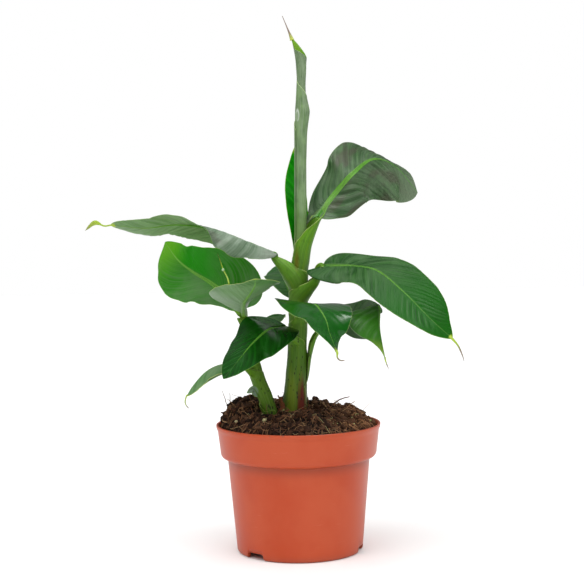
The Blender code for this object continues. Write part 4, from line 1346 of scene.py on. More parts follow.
LEAVES = (
    Leaf("upper_right_leaf", "main", 6,
         ((3.8, 0, 212), (6.3, -0.8, 224), (10.9, -2, 236)), (6.3, 5.3, 4.3),
         ((16.8, -1, 246.5), (29, 11, 261), (43, 14, 276), (60, 39, 287), (78, 56, 281), (95, 66, 261)),
         ((-0.6, -0.8, -0.1), (0.6, -0.3, 0.7), (-0.1, -0.7, 0.7)),
         Half(25, 0.55, (-20, -10, -20), base=0.32, lobe=8),
         Half(32, 0.65, (-30, -40, 0), lobe=2, tip=0.65), "bronzed",
         wrap=(174, 174, 165, 128, 74), late=3.5, rib=2.7,
         relief=Relief(pleat=1.1, pleat_pitch=8.5, wave=0.8, vein_lean=(0.7, 1.5, 1.6)), seed=11),
    Leaf("upper_left_leaf", "main", 5,
         ((0, -1, 197.5), (-3.8, -3, 204), (-9, -6, 209.5), (-15, -8, 215.5)), (7.4, 7.2, 5.0, 3.0, 2.1),
         ((-19, -10, 220.5), (-40, -15, 229.5), (-62, -23, 238), (-84, -35, 241), (-106, -37, 239),
          (-130, -35, 241.5)),
         ((0, 0.25, 0.95), (-0.5, 0.1, 0.85), (-0.1, 0.7, 0.7), (0, 0.7, 0.7)),
         Half(18, 0.33, (-60, -80, -62, -30, -10, -10, -10), base=0.2, lobe=5, hinge=1.0, tip=0.6),
         Half(17, 0.40, (0, -10, 15, 20), lobe=3, tip=0.5),
         "grey", thread=((-135, -35, 241), (-141.5, -35, 243.3), (-148.5, -35, 237.8)),
         thread_radii=(0.9, 0.7, 0.8, 2.2, 1.2, 0.3), dry=0.5, wrap=(172, 169, 166, 158, 120, 80),
         relief=Relief(pleat=0.35, rag=1.6, wave=0.25), seed=23),
    Leaf("right_leaf", "main", 4,
         ((3, -1.5, 187), (7.5, -5, 193), (13, -9.3, 200)), (6.9, 5.2, 2.0),
         ((21, -11.5, 209.8), (40, -13, 209.3), (58, -27, 206), (76, -40, 191), (93, -53, 173), (108, -55, 159)),
         ((0.3, -0.5, 0.8), (0, -0.4, 0.9), (0.6, -0.7, 0.5)),
         Half(28, 0.52, (0, 0, 0), lobe=1),
         Half(22, 0.35, (-20, -12, -9, -12, -15, -13, -10), base=0.32, lobe=11), "green",
         thread=((112, -55, 154), (115, -55, 147), (116, -55, 143)), thread_radii=(1.3, 0.8, 0.3),
         wrap=(172, 160, 110, 78), rib=1.5,
         relief=Relief(pleat=0.4, pleat_pitch=6.5, rag=0.3, wave=0.5), seed=37),
    Leaf("small_left_leaf", "sucker", 3,
         ((-35.5, -6, 152), (-37, -7, 163), (-38, -8, 170)), (4.2, 3.0, 2.5),
         ((-38, -10, 175.5), (-37, -34, 185), (-33, -47, 191), (-29, -59, 198), (-28, -72, 204)),
         ((-0.3, 0.6, 0.8), (0, 0.2, 1), (-0.1, 0.5, 0.8)),
         Half(20, 0.65, (40, 20, -5)), Half(26, 0.40, (30, 10, -5)), "pale", seed=41),
    Leaf("left_leaf", "sucker", 4,
         ((-36, -6, 158), (-38.5, -5, 166), (-41.5, -4, 172)), (3.6, 2.4, 2.2),
         ((-43.5, -3, 177), (-60, 19, 194), (-78, 31, 205), (-89, 34, 214), (-98, 36, 227)),
         ((-0.5, 0.7, 0.4), (-0.3, 0.9, 0.3), (-0.1, 0.8, 0.6)),
         Half(31, 0.25, (-5, -25, -20), tip=0.8), Half(26, 0.65, (-5, -30, 30)), "bright",
         keel=(0.3, -1, 0), wrap=(150, 140, 110, 90), relief=Relief(pleat=0.18, pleat_pitch=9.0, wave=1.1),
         seed=53),
    Leaf("back_leaf", "main", 3,
         ((1, 0, 172), (0, 8, 178), (-1, 15, 181)), (5.4, 3.6, 2.1),
         ((-2, 21, 184), (-7, 29, 195), (-9, 50, 202), (-7, 82, 205), (-3, 121, 203)),
         ((0, -0.4, 0.9), (-0.1, 0.1, 1), (0.1, 0.2, 1)),
         Half(16, 0.40, (5, -10, 5)), Half(18, 0.40, (0, 0, 0)), "green", seed=61),
    Leaf("front_leaf", "main", 2,
         ((1, 0, 168), (3, -6, 176)), (6.2, 4.4, 2.2),
         ((6, -11, 181), (12, -40, 184), (16, -59, 181), (20, -70, 174), (22, -75, 166), (27, -81, 153)),
         ((0, -0.1, 1), (0.2, -0.8, 0.6), (0.6, -0.8, 0.1)),
         Half(26, 0.30, (0, -5, -30)), Half(29, 0.40, (10, 5, 30)), "dark",
         thread=((27, -80, 150), (29, -80, 148), (32, -80, 148)), thread_radii=(1.2, 0.7, 0.4),
         wrap=(172, 92, 62, 82),
         relief=Relief(pleat=0.12, wave=0.35), seed=71),
    Leaf("front_left_leaf", "main", 1,
         ((0.5, -0.5, 154), (-3.5, -6, 159), (-6, -11, 163.5)), (6.8, 4.2, 1.9),
         ((-7, -14, 166), (-19, -32, 166), (-31, -42, 157), (-40, -48, 147), (-52, -51, 133)),
         ((-0.48, -0.79, 0.38), (-0.4, -0.9, 0.1), (-0.7, -0.7, 0.4)),
         Half(21, 0.35, (-5, 10, 10)), Half(25, 0.35, (20, -30, 0)), "deep", foot=60,
         wrap=(165, 72, 80, 82), relief=Relief(pleat=0.12, wave=0.3), seed=83),
    Leaf("inner_leaf", "sucker", 2,
         ((-34, -6, 146), (-28, -8, 155)), (3.6, 2.2, 1.4),
         ((-25, -9, 165), (-22, -2, 170), (-16, 25, 170), (-9, 39, 170)),
         ((0.1, -0.5, 0.9), (-0.1, -0.5, 0.9), (0.1, -0.5, 0.9)),
         Half(5, 0.45, (10, 0, 20)), Half(12, 0.20, (5, 10, 5)), "green", seed=91),
    Leaf("low_left_leaf", "sucker", 1,
         ((-30, -8, 130), (-36, -15, 136)), (4.4, 2.6, 1.4),
         ((-43, -19, 139), (-55, -13, 139), (-66, -11, 134), (-75, -12, 125), (-81, -12, 116)),
         ((-0.1, 0.4, 0.9), (-0.3, 0.2, 0.9), (-0.9, 0, 0.5)),
         Half(13, 0.40, (-40, -30, -30)), Half(8, 0.40, (-50, -50, -30)), "pale",
         thread=((-82, -12, 112), (-81, -12, 109), (-79, -12, 107)), thread_radii=(1.2, 1.0, 0.9, 0.3), dry=0.7,
         seed=97),
    Leaf("low_right_leaf", "main", 0,
         ((3.5, 0, 128), (7.8, -2, 144), (13, -1, 158), (21, 2, 164.5)), (4.6, 3.0, 2.3, 2.0),
         ((29, 3, 168), (41, 1, 171.5), (52, -8, 178.5), (58.5, -20, 181.5), (59, -31, 176), (58.3, -44, 165),
          (61, -60, 145)),
         ((-0.1, -0.45, 0.9), (0.2, -0.65, 0.7), (0.9, -0.4, 0.3), (1, -0.3, -0.1)),
         Half(14, 0.12, (20, 5, -55, -88, -80, -60), base=0.8, lobe=5, tip=6.0),
         Half(27, 0.42, (-15, -28, -45, -5), brow=0.5), "folded",
         thread=((62, -60, 142), (63.5, -60, 138.5)), thread_radii=(1.3, 0.8, 0.3), foot=60, wrap=(40, 42, 112, 90),
         seed=103),
    Leaf("upright_leaf", "main", 7,
         ((3, 1, 196), (2, 5, 205)), (3.0, 1.6, 1.2),
         ((1, 8, 212), (4, 10, 235), (4, 16, 261), (3, 19, 281), (0.5, 21, 296)),
         ((0.6, -0.8, 0), (0.1, -1, -0.1), (-0.2, -1, 0.2)),
         Half(12, 0.50, (20, 15, -10)), Half(6, 0.40, (30, 30, 30)), "bright", seed=109),
    Leaf("scale_leaf", "sucker", 0,
         ((-24, -10, 104), (-27, -11.5, 109)), (2.6, 1.4, 0.7),
         ((-28.5, -12, 115), (-32, -13, 121), (-37, -13, 118)),
         ((-0.3, -0.9, 0.3), (-0.2, -0.9, 0.3)),
         Half(3.6, 0.40, (0, 0)), Half(2.2, 0.35, (0, 0)), "grey", foot=14, wrap=(120, 110, 95, 80), seed=113),
)
WITHOUT_CAD_STALK = ("upright_leaf", "scale_leaf")


# -------- Rolled spear leaf
@dataclass(frozen=True)
class SpearLeaf:
    """The newest leaf, still rolled: an inner roll with an open mouth, an outer wrap and a thread."""

    knots: tuple = (((2.6, 0, 204), 6.2), ((3.9, 0, 221), 4.8), *SPEAR_KNOTS)
    foot: float = 204.0
    roll_radius: float = 3.7
    mouth_from: float = 352.0
    mouth: tuple = ((10.3, 0.3, 359.5), (9.0, 2.6, 363.0), (5.6, 3.6, 368.0), (1.8, 2.0, 372.3),
                    (-0.9, 0.0, 374.6), (1.4, -2.6, 366.4), (5.0, -3.9, 363.9), (8.6, -3.0, 361.4))
    edge: tuple = ((165, 345.0), (270, 338.5), (360, 331.6), (450, 322.0), (540, 312.0), (575, 308.0))
    thread: tuple = ((-0.2, 0, 372.5), (-1.2, 0, 375.5), (-3.9, 0, 382.2), (-7, 0, 390))

    def centre(self, height: Array) -> Array:
        """Return the centre line's points at some heights."""
        heights = [point[2] for point, _ in self.knots]
        x = np.interp(height, heights, [point[0] for point, _ in self.knots])
        return np.stack([x, np.zeros_like(height), height], axis=-1)

    def radius(self, height: Array) -> Array:
        """Return the outer radius at some heights, eased between the knots."""
        fine = np.linspace(self.foot, 360, 260)
        raw = np.interp(fine, [point[2] for point, _ in self.knots], [radius for _, radius in self.knots])
        return np.interp(height, fine, smoothed(raw, np.hanning(13)))

    def build(self) -> None:
        """Build the three pieces."""
        self.build_roll()
        self.build_wrap()
        self.build_thread()

    def build_roll(self) -> None:
        """Build the inner roll, whose mouth is cut on a slant and shows its inside."""
        columns, tucked, wall = 48, 28, 0.32
        angle = circle_angles(columns)
        spread = spokes(angle)
        heights = np.linspace(self.foot, self.mouth_from, 60)
        radius = np.where(heights < 346, np.minimum(self.radius(heights) - 0.55, self.roll_radius),
                          self.radius(heights) - 0.1)
        radius = smoothed(radius, np.ones(5))
        outer = self.centre(heights)[:, None] + spread[None] * radius[:, None, None]
        lip = smooth_path(np.array(self.mouth * 3), 3 * columns)[columns:2 * columns]
        rise = np.linspace(0, 1, 14)[1:, None, None]
        mouth = outer[-1][None] + (lip - outer[-1])[None] * np.concatenate([rise ** 1.5, rise ** 1.5, rise], axis=-1)
        outside = np.concatenate([outer, mouth])
        inside = outside[::-1][:tucked]
        middle = inside.mean(axis=1, keepdims=True)
        inside = inside + unit(middle - inside) * wall
        rings = np.concatenate([outside, inside])
        rows = len(rings)
        finish = np.concatenate([np.repeat(np.where(np.arange(rows - 1) < len(outside) - 1, 0, 1), columns),
                                 np.zeros(columns), np.ones(columns)]).astype(int)
        share = np.zeros((rows, columns))
        share[len(outside) - 1:len(outside) + 1] = 1.0
        part = np.broadcast_to(np.linspace(0, 1, rows)[:, None], (rows, columns))
        skin = Skin("spear_roll")
        add_tube(skin, rings, finish, girth=pair(angle[None] * 4, rings[..., 2]), sheath=pair(share, part))
        finish_piece(skin, Slot.SPEAR, (ROLL, MOUTH), "spear_leaf")

    def build_wrap(self) -> None:
        """Build the outer wrap, whose top edge winds down round the roll."""
        turns = np.radians(np.linspace(self.edge[0][0], self.edge[-1][0], 96))
        top = np.interp(np.degrees(turns), [a for a, _ in self.edge], [z for _, z in self.edge])
        part = np.linspace(0, 1, 110)[:, None]
        height = self.foot + (top[None] - self.foot) * part
        spiral = 0.75 * (turns - turns[0]) / (2 * np.pi)
        loose = 0.5 * np.exp(-((height - 322) / 9.0) ** 2) * np.clip(np.cos(turns - np.radians(350)), 0, 1)[None]
        distance = self.radius(height) - 0.30 + spiral[None] + loose
        spread = spokes(turns)
        outer = self.centre(height) + spread[None] * distance[..., None]
        inner = self.centre(height) + spread[None] * (distance - 0.28)[..., None]
        rim = np.clip(1 - (top[None] - height) / 12.0, 0, 1)
        skin = Skin("spear_wrap")
        skin_map = pair(turns[None] * 4.5, height)
        add_shell(skin, outer, inner, (0, 0, 0), girth=skin_map, sheath=pair(rim, 0 * rim + 0.5))
        finish_piece(skin, Slot.SPEAR, (WRAP,), "spear_leaf")

    def build_thread(self) -> None:
        """Build the drying thread on the mouth's highest corner."""
        steps, columns = 30, 10
        path = smooth_path(self.thread, steps)
        share = shares(steps)
        radii = 1.25 * (1 - share) ** 3 + 0.42 * (1 - 0.4 * share)
        rings = rings_along(path, radii, columns, flatten=0.6, lean=(0, -1, 0))
        spread = pair(np.zeros((1, columns)), share[:, None])
        skin = Skin("spear_thread")
        add_tube(skin, rings, sheath=spread)
        finish_piece(skin, Slot.SPEAR, (SPEAR_TIP,))


ROLL = SpearFinish("spear_roll_skin", deep=(0.06, 0.12, 0.042), bright=(0.125, 0.205, 0.085))
WRAP = SpearFinish("spear_wrap_skin")
MOUTH = PlainPlantFinish("spear_inside", start=(0.20, 0.40, 0.01), end=(0.16, 0.36, 0.008), roughness=0.42)
SPEAR_TIP = PlainPlantFinish("spear_tip", start=(0.42, 0.50, 0.06), end=(0.24, 0.17, 0.13), middle=0.2)


# -------- Pot
@dataclass(frozen=True)
class Pot:
    """Round nursery pot with a deep rim band, a raised floor and three drainage notches."""

    height: float = 93.6
    rim: float = 60.3
    band_foot: tuple[float, float] = (57.1, 71.5)
    body_top: tuple[float, float] = (52.2, 68.7)
    base: float = 46.2
    wall: float = 1.7
    foot_height: float = 5.0
    foot_width: float = 2.6
    floor: float = 7.5
    pad: float = 16.0
    notches: tuple = (-45.0, 75.0, 195.0)
    notch_widths: tuple[float, float] = (18.0, 15.0)
    columns: int = 180

    def corners(self) -> list[tuple[float, float, float]]:
        """Return the section's corners as (radius, height, rounding), from the inside to the pad."""
        inner = self.base - self.foot_width
        return [
            (0, self.floor, 0), (self.base - 4.5, self.floor, 1.5), (self.base - self.wall, self.floor + 3, 1.5),
            (self.body_top[0] - self.wall, self.body_top[1] + 1, 1),
            (self.band_foot[0] - self.wall, self.band_foot[1] + 1.5, 1),
            (self.rim - 2.4, self.height - 4, 1.5), (self.rim - self.wall, self.height, 0.55),
            (self.rim, self.height, 0.55), (self.rim - 0.15, self.height - 2.2, 0.5),
            (self.rim - 1.1, self.height - 4.5, 1.0), (self.band_foot[0], self.band_foot[1], 1.1),
            (self.band_foot[0] - 1.2, self.band_foot[1] - 1.5, 0.5), (self.body_top[0], self.body_top[1], 1.2),
            (self.base, 1.2, 0.8), (self.base - 1.2, 0, 0.5), (inner, 0, 0.5), (inner - 0.5, self.foot_height, 0.8),
            (self.pad + 1, self.foot_height, 0.8), (self.pad, 0, 0.4), (0, 0, 0),
        ]

    def profile(self) -> Array:
        """Return the section as a fine line with rounded corners."""
        line = []
        corners = [(np.array(corner[:2], float), corner[2]) for corner in self.corners()]
        for number, (place, rounding) in enumerate(corners):
            if not rounding:
                line.append(place)
                continue
            before, after = corners[number - 1][0], corners[number + 1][0]
            first, second = unit(before - place), unit(after - place)
            reach = min(rounding, np.linalg.norm(before - place) * 0.45, np.linalg.norm(after - place) * 0.45)
            for t in np.linspace(0, 1, 5):
                line.append(place + first * reach * (1 - t) ** 2 + second * reach * t ** 2)
        dense = [line[0]]
        for start, end in zip(line, line[1:]):
            steps = max(1, int(np.linalg.norm(end - start) / 6.0))
            dense.extend(start + (end - start) * (step + 1) / steps for step in range(steps))
        return np.array(dense)

    def build(self) -> None:
        """Turn the section, cut the notches and dress the shell."""
        profile = self.profile()[1:-1]
        angle = circle_angles(self.columns)
        rings = np.stack(np.broadcast_arrays(
            profile[:, :1] * np.cos(angle)[None], profile[:, :1] * np.sin(angle)[None], profile[:, 1:]), axis=-1)
        skin = Skin("pot_shell")
        add_tube(skin, rings[::-1])
        shell = skin.build(material_of(PlasticFinish()))
        for angle_of in self.notches:
            self.cut_notch(shell, angle_of)
        settle(shell, Slot.POT, "pot")

    def cut_notch(self, shell: Thing, angle: float) -> None:
        """Open one drainage notch through the foot of the wall, with eased corners.

        Args:
            shell: Pot to cut.
            angle: Place of the notch in degrees from the front towards +X.
        """
        wide, narrow = self.notch_widths
        top = self.foot_height - 0.2
        outline = [(-wide / 2, -2.0), (wide / 2, -2.0), (narrow / 2 + 0.3, top - 1.2), (narrow / 2 - 0.9, top),
                   (-narrow / 2 + 0.9, top), (-narrow / 2 - 0.3, top - 1.2)]
        near, far = -self.base - 7.0, -self.base + 5.0
        points = np.array([(x, y, z) for y in (near, far) for x, z in outline])
        count = len(outline)
        shape = bmesh.new()
        verts = [shape.verts.new(point * MM) for point in points]
        shape.faces.new(verts[:count])
        shape.faces.new(verts[:count - 1:-1])
        for index in range(count):
            following = (index + 1) % count
            shape.faces.new((verts[following], verts[index], verts[index + count], verts[following + count]))
        bmesh.ops.recalc_face_normals(shape, faces=shape.faces)
        mesh = bpy.data.meshes.new("notch")
        shape.to_mesh(mesh)
        shape.free()
        cutter = add_object("notch", mesh)
        cutter.matrix_world = Matrix.Rotation(math.radians(angle), 4, "Z")
        step = shell.modifiers.new("notch", "BOOLEAN")
        step.operation = "DIFFERENCE"
        step.solver = "EXACT"
        step.object = cutter
        bpy.context.view_layer.update()
        cut = bpy.data.meshes.new_from_object(shell.evaluated_get(bpy.context.evaluated_depsgraph_get()))
        shell.modifiers.clear()
        shell.data = cut
        bpy.data.objects.remove(cutter, do_unlink=True)


# -------- Soil
DROP = PlainPlantFinish("water_drop", start=(0.45, 0.62, 0.35), end=(0.62, 0.72, 0.52), middle=0.5)
PEAT = EarthFinish("peat", ((0.008, 0.003, 0.002), (0.026, 0.010, 0.004), (0.055, 0.022, 0.010)))
CRUMB = EarthFinish("peat_crumbs", ((0.010, 0.004, 0.002), (0.035, 0.013, 0.006), (0.080, 0.034, 0.016),
                                    (0.14, 0.068, 0.034)))
FIBRE = EarthFinish("coir_fibres", ((0.050, 0.016, 0.007), (0.14, 0.050, 0.020), (0.26, 0.12, 0.05),
                                    (0.42, 0.27, 0.13)), grain=1600.0, relief=0.05, roughness=0.75, specular=0.25)
GRIT = EarthFinish("pale_bits", ((0.36, 0.30, 0.15), (0.42, 0.40, 0.20), (0.30, 0.36, 0.12), (0.48, 0.38, 0.24)),
                   roughness=0.8)
ROOT = EarthFinish("pale_root", ((0.30, 0.26, 0.12), (0.22, 0.20, 0.07)), relief=0.05, roughness=0.7)
SCRAP = EarthFinish("dry_sheath", ((0.20, 0.055, 0.014), (0.30, 0.13, 0.035), (0.16, 0.07, 0.03)), relief=0.12,
                    roughness=0.65, specular=0.3)


@dataclass(frozen=True)
class SoilBed:
    """Mound of peat with crumbs, coir fibres, bark, pale bits and a loose root."""

    rim: float = 57.0
    edge_height: float = 91.0
    crown: float = 13.5
    lump: float = 1.6
    wall: tuple = ((54.6, 73.0), (49.7, 69.7), (43.7, 11.5), (40.7, 7.9))
    seed: int = 5

    def height(self, x: Array, y: Array) -> Array:
        """Height of the mound's surface, with its lumps."""
        reach = np.clip(np.hypot(x, y) / self.rim, 0, 1)
        crown = self.crown + 4.5 * ease((-x - 12) / 32) * ease((y + 25) / 30)
        mound = crown * (1 - reach ** (7.0 + 8.0 * ease(-x / 40) * ease((y + 35) / 30)))
        mound = mound + (0.04 * y - 0.18 * np.maximum(x - 8, 0)) * (1 - reach ** 4)
        mound = mound - 4.5 * np.exp(-((x + 6) / 20) ** 2 - ((y + 12) / 12) ** 2)
        lumps = np.sin(x * 0.21 + 1.3) * np.cos(y * 0.17 - 0.6) + 0.6 * np.sin(x * 0.37 - y * 0.29)
        flat = pair(x, y)
        clods = (2.6 * noise(flat, 9.0, self.seed) + 2.2 * noise(flat, 4.2, self.seed + 1)
                 + 0.7 * noise(flat, 1.7, self.seed + 2))
        fade = 1 - reach ** 6
        return self.edge_height + mound + self.lump * lumps * (1 - reach ** 4) + clods * (0.25 + 0.75 * fade) - 0.6

    def build(self) -> None:
        """Build the mound and everything that lies on it."""
        random = np.random.default_rng(self.seed)
        self.build_mound()
        self.build_crumbs(random)
        self.build_fibres(random)
        self.build_grit(random)
        self.build_bark(random)
        self.build_root()

    def build_mound(self) -> None:
        """Build the plug of peat, fine on top and plain down the pot's wall."""
        columns = 300
        rows = 96
        radii = np.r_[np.linspace(0.6, self.rim, rows), [radius for radius, _ in self.wall]]
        angle = circle_angles(columns)
        x, y = radii[:, None] * np.cos(angle), radii[:, None] * np.sin(angle)
        z = self.height(x, y)
        z[rows:] = np.array([height for _, height in self.wall])[:, None]
        rings = np.stack([x, y, z], axis=-1)[::-1]
        tone = noise(rings, 5.0, self.seed + 7) * 0.5 + noise(rings, 1.5, self.seed + 8) * 0.3 + 0.4
        skin = Skin("soil_mound")
        add_tube(skin, rings, tone=pair(tone, 0 * tone))
        finish_piece(skin, Slot.SOIL, (PEAT,), "soil")

    def scatter(self, random: np.random.Generator, count: int, edge: float) -> Array:
        """Pick places on the mound.

        Args:
            random: Source of draws.
            count: Number of places.
            edge: Share of the rim's radius that the places reach.

        Returns:
            Points on the surface.
        """
        reach = self.rim * edge * np.sqrt(random.random(count))
        turn = random.random(count) * 2 * np.pi
        x, y = reach * np.cos(turn), reach * np.sin(turn)
        return np.stack([x, y, self.height(x, y)], axis=-1)

    def add_lumps(self, skin: Skin, random: np.random.Generator, places: Array, sizes: Array,
                  shape: Point, tones: Array) -> None:
        """Add rough lumps, each a noisy icosphere turned at random.

        Args:
            skin: Skin that receives the lumps.
            random: Source of draws.
            places: Middle of each lump.
            sizes: Radius of each lump.
            shape: Stretch along each lump's own axes.
            tones: Tone of each lump, from 0 to 1.
        """
        ball = bmesh.new()
        bmesh.ops.create_icosphere(ball, subdivisions=2, radius=1.0)
        points = np.array([vert.co[:] for vert in ball.verts])
        faces = np.array([[*(vert.index for vert in face.verts), -1] for face in ball.faces])
        ball.free()
        for place, size, tone in zip(places, sizes, tones):
            axes = np.array(Matrix.Rotation(random.random() * 6.28, 3, Vector(random.normal(size=3))))
            offset = random.random(3) * 50
            rough = 1 + 0.35 * noise(points + offset, 0.75, self.seed + 3)
            lump = (points * rough[:, None] * np.array(shape)) @ axes.T * size + place
            skin.add(lump, faces, tone=np.tile((tone, 0.0), (len(points), 1)))

    def build_crumbs(self, random: np.random.Generator) -> None:
        """Strew crumbs of peat over the mound, up to the pot's wall."""
        count = 2100
        places = self.scatter(random, count, 0.985)
        sizes = 0.5 + 1.9 * random.random(count) ** 3.0
        places[:, 2] += sizes * (random.random(count) * 0.9 - 0.1)
        skin = Skin("soil_crumbs")
        self.add_lumps(skin, random, places, sizes, (1.25, 1.0, 0.75), random.random(count) ** 1.6)
        finish_piece(skin, Slot.SOIL, (CRUMB,))

    def build_fibres(self, random: np.random.Generator) -> None:
        """Lay thin curly fibres over the mound, some of them standing out of it."""
        skin = Skin("coir_fibres")
        count, steps, columns = 1300, 7, 4
        places = self.scatter(random, count, 0.97)
        for place in places:
            loose = random.random() < 0.085
            length = random.uniform(5.0, 17.0)
            turn = random.random() * 2 * np.pi
            rise = random.uniform(0.25, 1.1) if loose else random.normal(0.0, 0.10)
            heading = np.array([math.cos(turn), math.sin(turn), rise])
            bend = random.normal(size=3) * (0.10, 0.10, 0.04 if loose else 0.02)
            points = [place + (0, 0, 0.2)]
            for _ in range(steps):
                heading = unit(heading + bend + random.normal(size=3) * (0.22, 0.22, 0.08))
                points.append(points[-1] + heading * length / steps)
            path = np.array(points)
            ground = self.height(path[:, 0], path[:, 1])
            hug = ground + 0.35 + 0.9 * random.random()
            path[:, 2] = np.maximum(path[:, 2], ground + 0.1) if loose else hug
            inside = np.hypot(path[:, 0], path[:, 1])
            tighten = np.minimum(1.0, (self.rim + 0.6) / np.maximum(inside, 1e-6))
            path[:, :2] *= tighten[:, None]
            radius = random.uniform(0.14, 0.40) * random.choice((1.0, 1.0, 1.0, 1.0, 1.6))
            radius = radius * (1 - 0.5 * shares(steps))
            tone = float(np.clip(random.normal(0.50, 0.30), 0, 1))
            rings = rings_along(path, radius, columns)
            add_tube(skin, rings, tone=np.tile((tone, 0.0), (steps + 1, columns, 1)))
        finish_piece(skin, Slot.SOIL, (FIBRE,))

    def build_grit(self, random: np.random.Generator) -> None:
        """Strew pale bits, fewer and larger than the crumbs."""
        count = 90
        places = self.scatter(random, count, 0.95)
        sizes = 0.35 + 0.85 * random.random(count) ** 3
        places[:, 2] += 0.5 + sizes * 0.5
        skin = Skin("pale_bits")
        self.add_lumps(skin, random, places, sizes, (1.3, 0.9, 0.6), random.random(count))
        chosen = np.array([(-24, -40, 0), (-4, -38, 0), (39, -14, 0), (36, -22, 0), (28, 4, 0), (-26, -18, 0)], float)
        chosen[:, 2] = self.height(chosen[:, 0], chosen[:, 1]) + 1.1
        self.add_lumps(skin, random, chosen, np.full(len(chosen), 1.5), (1.2, 0.9, 0.8), random.random(len(chosen)))
        finish_piece(skin, Slot.SOIL, (GRIT,))

    def build_bark(self, random: np.random.Generator) -> None:
        """Strew flat splinters of bark."""
        count = 150
        places = self.scatter(random, count, 0.95)
        places[:, 2] += 0.7
        skin = Skin("bark_splinters")
        self.add_lumps(skin, random, places, 1.0 + 1.3 * random.random(count), (1.9, 0.55, 0.22),
                       0.5 + 0.5 * random.random(count))
        finish_piece(skin, Slot.SOIL, (CRUMB,))

    def build_root(self) -> None:
        """Lay the long pale root that lies towards the front, with two side roots."""
        skin = Skin("pale_root")
        steps, columns = 36, 8
        strands = (((5, -15), (10, -22), (13, -32), (18, -44), (22, -52)), ((5, -15), (-2, -19), (-7, -22)),
                   ((13, -32), (11, -38), (5, -41)))
        for number, strand in enumerate(strands):
            flat = smooth_path([(x, y, 0) for x, y in strand], steps)
            ground = self.height(flat[:, 0], flat[:, 1])
            flat[:, 2] = smoothed(ground, np.ones(9)) + 1.5
            radius = (0.42 if number == 0 else 0.28) * (1 - 0.5 * shares(steps))
            tone = np.tile((0.3 * number, 0.0), (steps + 1, columns, 1))
            add_tube(skin, rings_along(flat, radius, columns), tone=tone)
        finish_piece(skin, Slot.SOIL, (ROOT,))


@dataclass(frozen=True)
class Tendril:
    """Dry strip that has come off the small leaf's margin and carries a drop of water."""

    points: tuple = ((-47.7, -31, 198.2), (-49.0, -29, 203.0), (-52.0, -25, 208.5), (-54.0, -20, 214.0),
                     (-56.3, -15, 219.5))
    drop: Point = (-52.0, -26.0, 208.3)

    def build(self) -> None:
        """Build the strip with its drop."""
        skin = Skin("loose_tendril")
        steps, columns = 30, 10
        path = smooth_path(self.points, steps)
        share = shares(steps)
        spread = pair(np.zeros((1, columns)), 0.5 * share[:, None])
        add_tube(skin, rings_along(path, 0.62 - 0.45 * share, columns, flatten=0.5), sheath=spread)
        rows, columns = 12, 14
        turn = np.linspace(0, np.pi, rows)
        line = np.array(self.drop) + np.stack([0 * turn, 0 * turn, 1.15 * np.cos(turn)], axis=-1)
        add_tube(skin, rings_along(line, 0.95 * np.sin(turn) + 0.02, columns), 1, sheath=np.zeros((rows, columns, 2)))
        finish_piece(skin, Slot.LEAF_BRIGHT, (DRY_TIP, DROP))


@dataclass(frozen=True)
class DrySheaths:
    """Scraps of old sheath that peel at the feet of the pseudostems."""

    scraps: tuple = (
        ((-13.5, -13.5, 99), (-11.5, -12.5, 107), (-12.5, -10.5, 114), 2.6),
        ((-12.0, -14.5, 99), (-9.5, -13.5, 103), (-7.0, -13.0, 105), 1.8),
        ((-9.0, -7.5, 100), (-12.0, -6.5, 108), (-14.5, -6.0, 115), 2.2),
        ((6.5, 3.0, 99), (6.8, 3.5, 106), (7.6, 3.8, 112), 2.8),
        ((-11.0, 5.0, 99), (-11.5, 5.2, 104), (-12.8, 5.8, 108), 2.6),
    )

    def build(self) -> None:
        """Build all the scraps as one piece of thin curled sheets."""
        skin = Skin("dry_sheaths")
        steps, columns = 16, 14
        for number, (*points, width) in enumerate(self.scraps):
            path = smooth_path(points, steps)
            share = shares(steps)
            radii = width * (0.35 + 0.65 * np.sin(np.pi * np.clip(share * 0.8 + 0.25, 0, 1)))
            ragged = 1 + 0.35 * noise(share[:, None] * 10, 1.3, 40 + number)
            lean = np.array(points[1]) - np.array((-3.0, 0.0, points[1][2]))
            rings = rings_along(path, radii * ragged, columns, flatten=0.10, lean=tuple(lean))
            rings = rings + noise(rings, 2.6, 60 + number)[..., None] * 0.35
            add_tube(skin, rings, tone=np.tile((number / 4, 0.0), (steps + 1, columns, 1)))
        finish_piece(skin, Slot.STEM, (SCRAP,))


# -------- Studio
@dataclass(frozen=True)
class FloorFinish(Finish):
    """Pale matt floor."""

    colour: Colour = (0.91, 0.91, 0.91)
    specular: float = 0.1

    def paint(self, graph: Graph, place: Socket) -> Painted:
        """Draw broad, faint patches."""
        light = scaled(self.colour, 1.02)
        return graph.mix(graph.noise(place, 3.0, 2.0), self.colour, light), 0.9, None, 0.0


